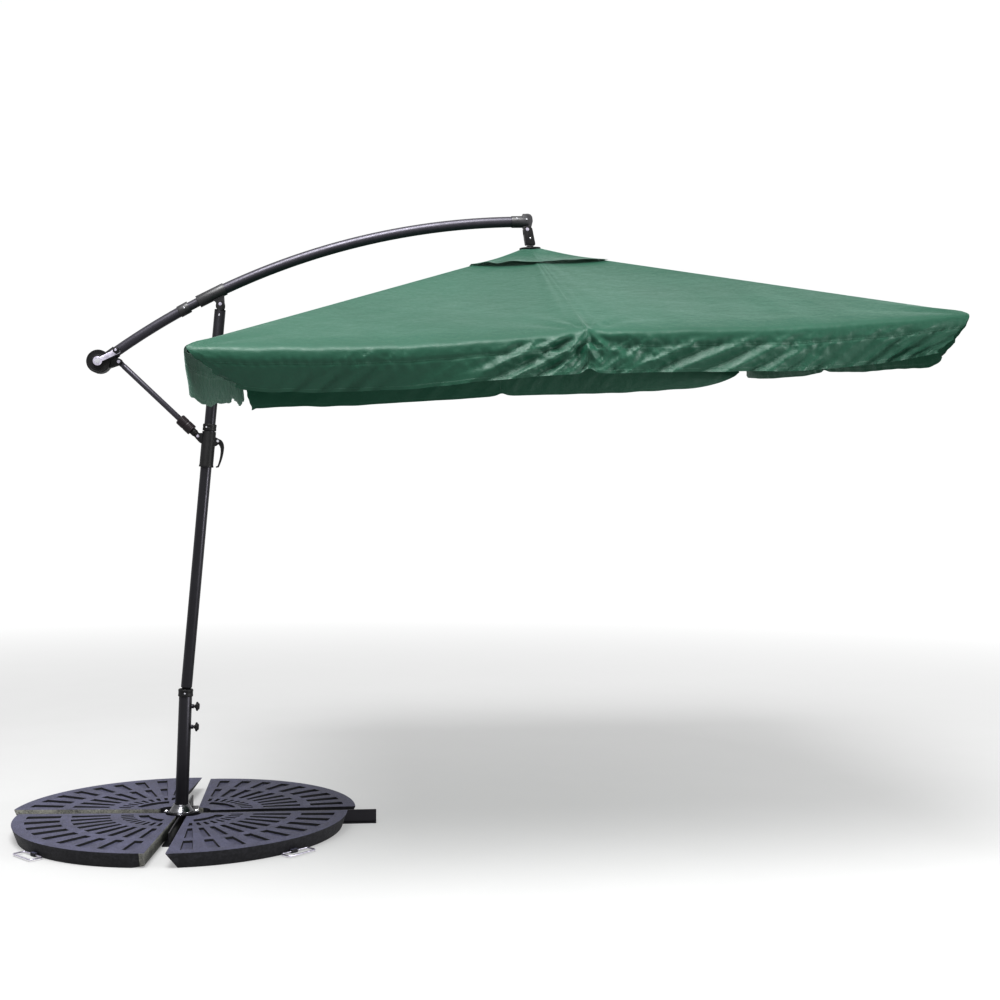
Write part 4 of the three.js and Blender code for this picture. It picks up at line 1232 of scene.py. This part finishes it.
def open_corner(points, part):
    """At a corner the valance is open, so its guard column carries on the slope inside it."""
    if part == 0:
        points[ROWS:, -1] = 2 * points[ROWS:, -2] - points[ROWS:, -3]
    else:
        points[ROWS:, 0] = 2 * points[ROWS:, 1] - points[ROWS:, 2]
    return points


def vent_points(s, shares):
    """The vent cap: steeper at the centre, held down over the ribs, its edge lifting between them."""
    f = shares[:, None] + 0 * s[None, :]
    s = s[None, :] + 0 * f
    rim_x, rim_y = rim_point(s)
    scale = VENT["half"] / HALF
    arch = gore_arch(s)
    lift = 0.004 * arch * smooth(f, 0.55, 1.0)
    loose = 0.0010 + 0.0038 * np.exp(-((s - VENT["loose"]) / 0.45) ** 2)
    ripple = loose * np.sin(s * 17.0 + 1.2 * np.sin(s * 5)) * smooth(f, 0.6, 1.0) * arch
    beyond = np.clip((f - VENT["flat"]) / (1 - VENT["flat"]), 0, 1)
    fall = 0.02 + 0.53 * beyond + 0.45 * np.sin(math.pi * beyond / 2)
    z = VENT["edge_z"] * fall - 0.003 * arch * np.sin(math.pi * f) * smooth(f, 0.2, 0.5) + lift + ripple
    return np.stack([rim_x * scale * f, rim_y * scale * f, z], axis=-1)


def make_vent_cap():
    steps = 26
    shares = np.linspace(VENT["start"], 1.0, steps + 1)
    for index, name in enumerate(RIB_NAMES):
        s = index + np.linspace(-0.5, 0.5, 41)
        wide = np.concatenate([[s[0] - 0.0125], s, [s[-1] + 0.0125]])
        points = vent_points(wide % 8, shares)
        normals = cloth_normals(points)[:, 1:-1]
        points = points[:, 1:-1]
        extra = rib_attributes(points, index, np.where(shares[:, None] > 0.955, VALANCE, ABOVE_RIM))
        obj = sheet_piece("vent_petal_" + name, points, normals, extra, "rib_" + name, ["vent_cap"])
        fold_with_rib(obj)


# ---- floor, light and camera ----
SKY = 0.60


def make_floor():
    f = Finish("pale_floor")
    tone = f.noise(f.place(), 3.0, 2)
    colour = f.mix(tone, (0.37, 0.37, 0.37), (0.39, 0.39, 0.39))
    near = f.surface(base_color=colour, roughness=0.9)
    far = f.add("Emission", {"Color": (1, 1, 1, 1), "Strength": SKY}).outputs[0]
    distance = f.add("VectorMath", {0: f.place()}, operation="LENGTH").outputs["Value"]
    fade = f.stretch(distance, 3.0, 9.0, 0.38, 1)
    material = f.finish(f.add("MixShader", {0: fade, 1: near, 2: far}).outputs[0])
    mesh = bpy.data.meshes.new("floor")
    size = 40.0
    corners = [(-size, -size, 0), (size, -size, 0), (size, size, 0), (-size, size, 0)]
    mesh.from_pydata(corners, [], [(0, 1, 2, 3)])
    mesh.materials.append(material)
    add_object("floor", mesh)


def area_light(name, location, target, size, power):
    data = bpy.data.lights.new(name, "AREA")
    data.shape = "DISK"
    data.size = size
    data.energy = power
    light = add_object(name, data)
    light.location = location
    light.rotation_mode = "QUATERNION"
    light.rotation_quaternion = (Vector(target) - Vector(location)).to_track_quat("-Z", "Y")


def make_light():
    world = bpy.data.worlds.new("studio")
    bpy.context.scene.world = world
    world.use_nodes = True
    tree = world.node_tree
    background = tree.nodes["Background"]
    background.inputs["Color"].default_value = (1.0, 1.0, 1.0, 1)
    background.inputs["Strength"].default_value = SKY
    area_light("key", (0.2, -3.2, 7.2), (1.0, 0.0, 1.8), 4.2, 640)
    area_light("side", (6.0, -2.2, 1.4), (0.3, 0.0, 0.3), 1.6, 150)


def make_camera():
    data = bpy.data.cameras.new("camera")
    data.lens = 50.07
    data.sensor_width = 36
    camera = add_object("camera", data)
    camera.location = (1.243, -5.424, 1.285)
    camera.rotation_euler = (math.radians(89.85), 0, 0)
    bpy.context.scene.camera = camera
    view = bpy.context.scene.view_settings
    view.view_transform = "Standard"
    view.exposure = 0.75
    view.gamma = 0.80


make_light()
make_camera()
make_floor()
make_foot()
make_weights()
make_mast()
make_slider()
make_arm()
make_winder()
make_hanger()
make_ribs()
make_canopy()
make_vent_cap()
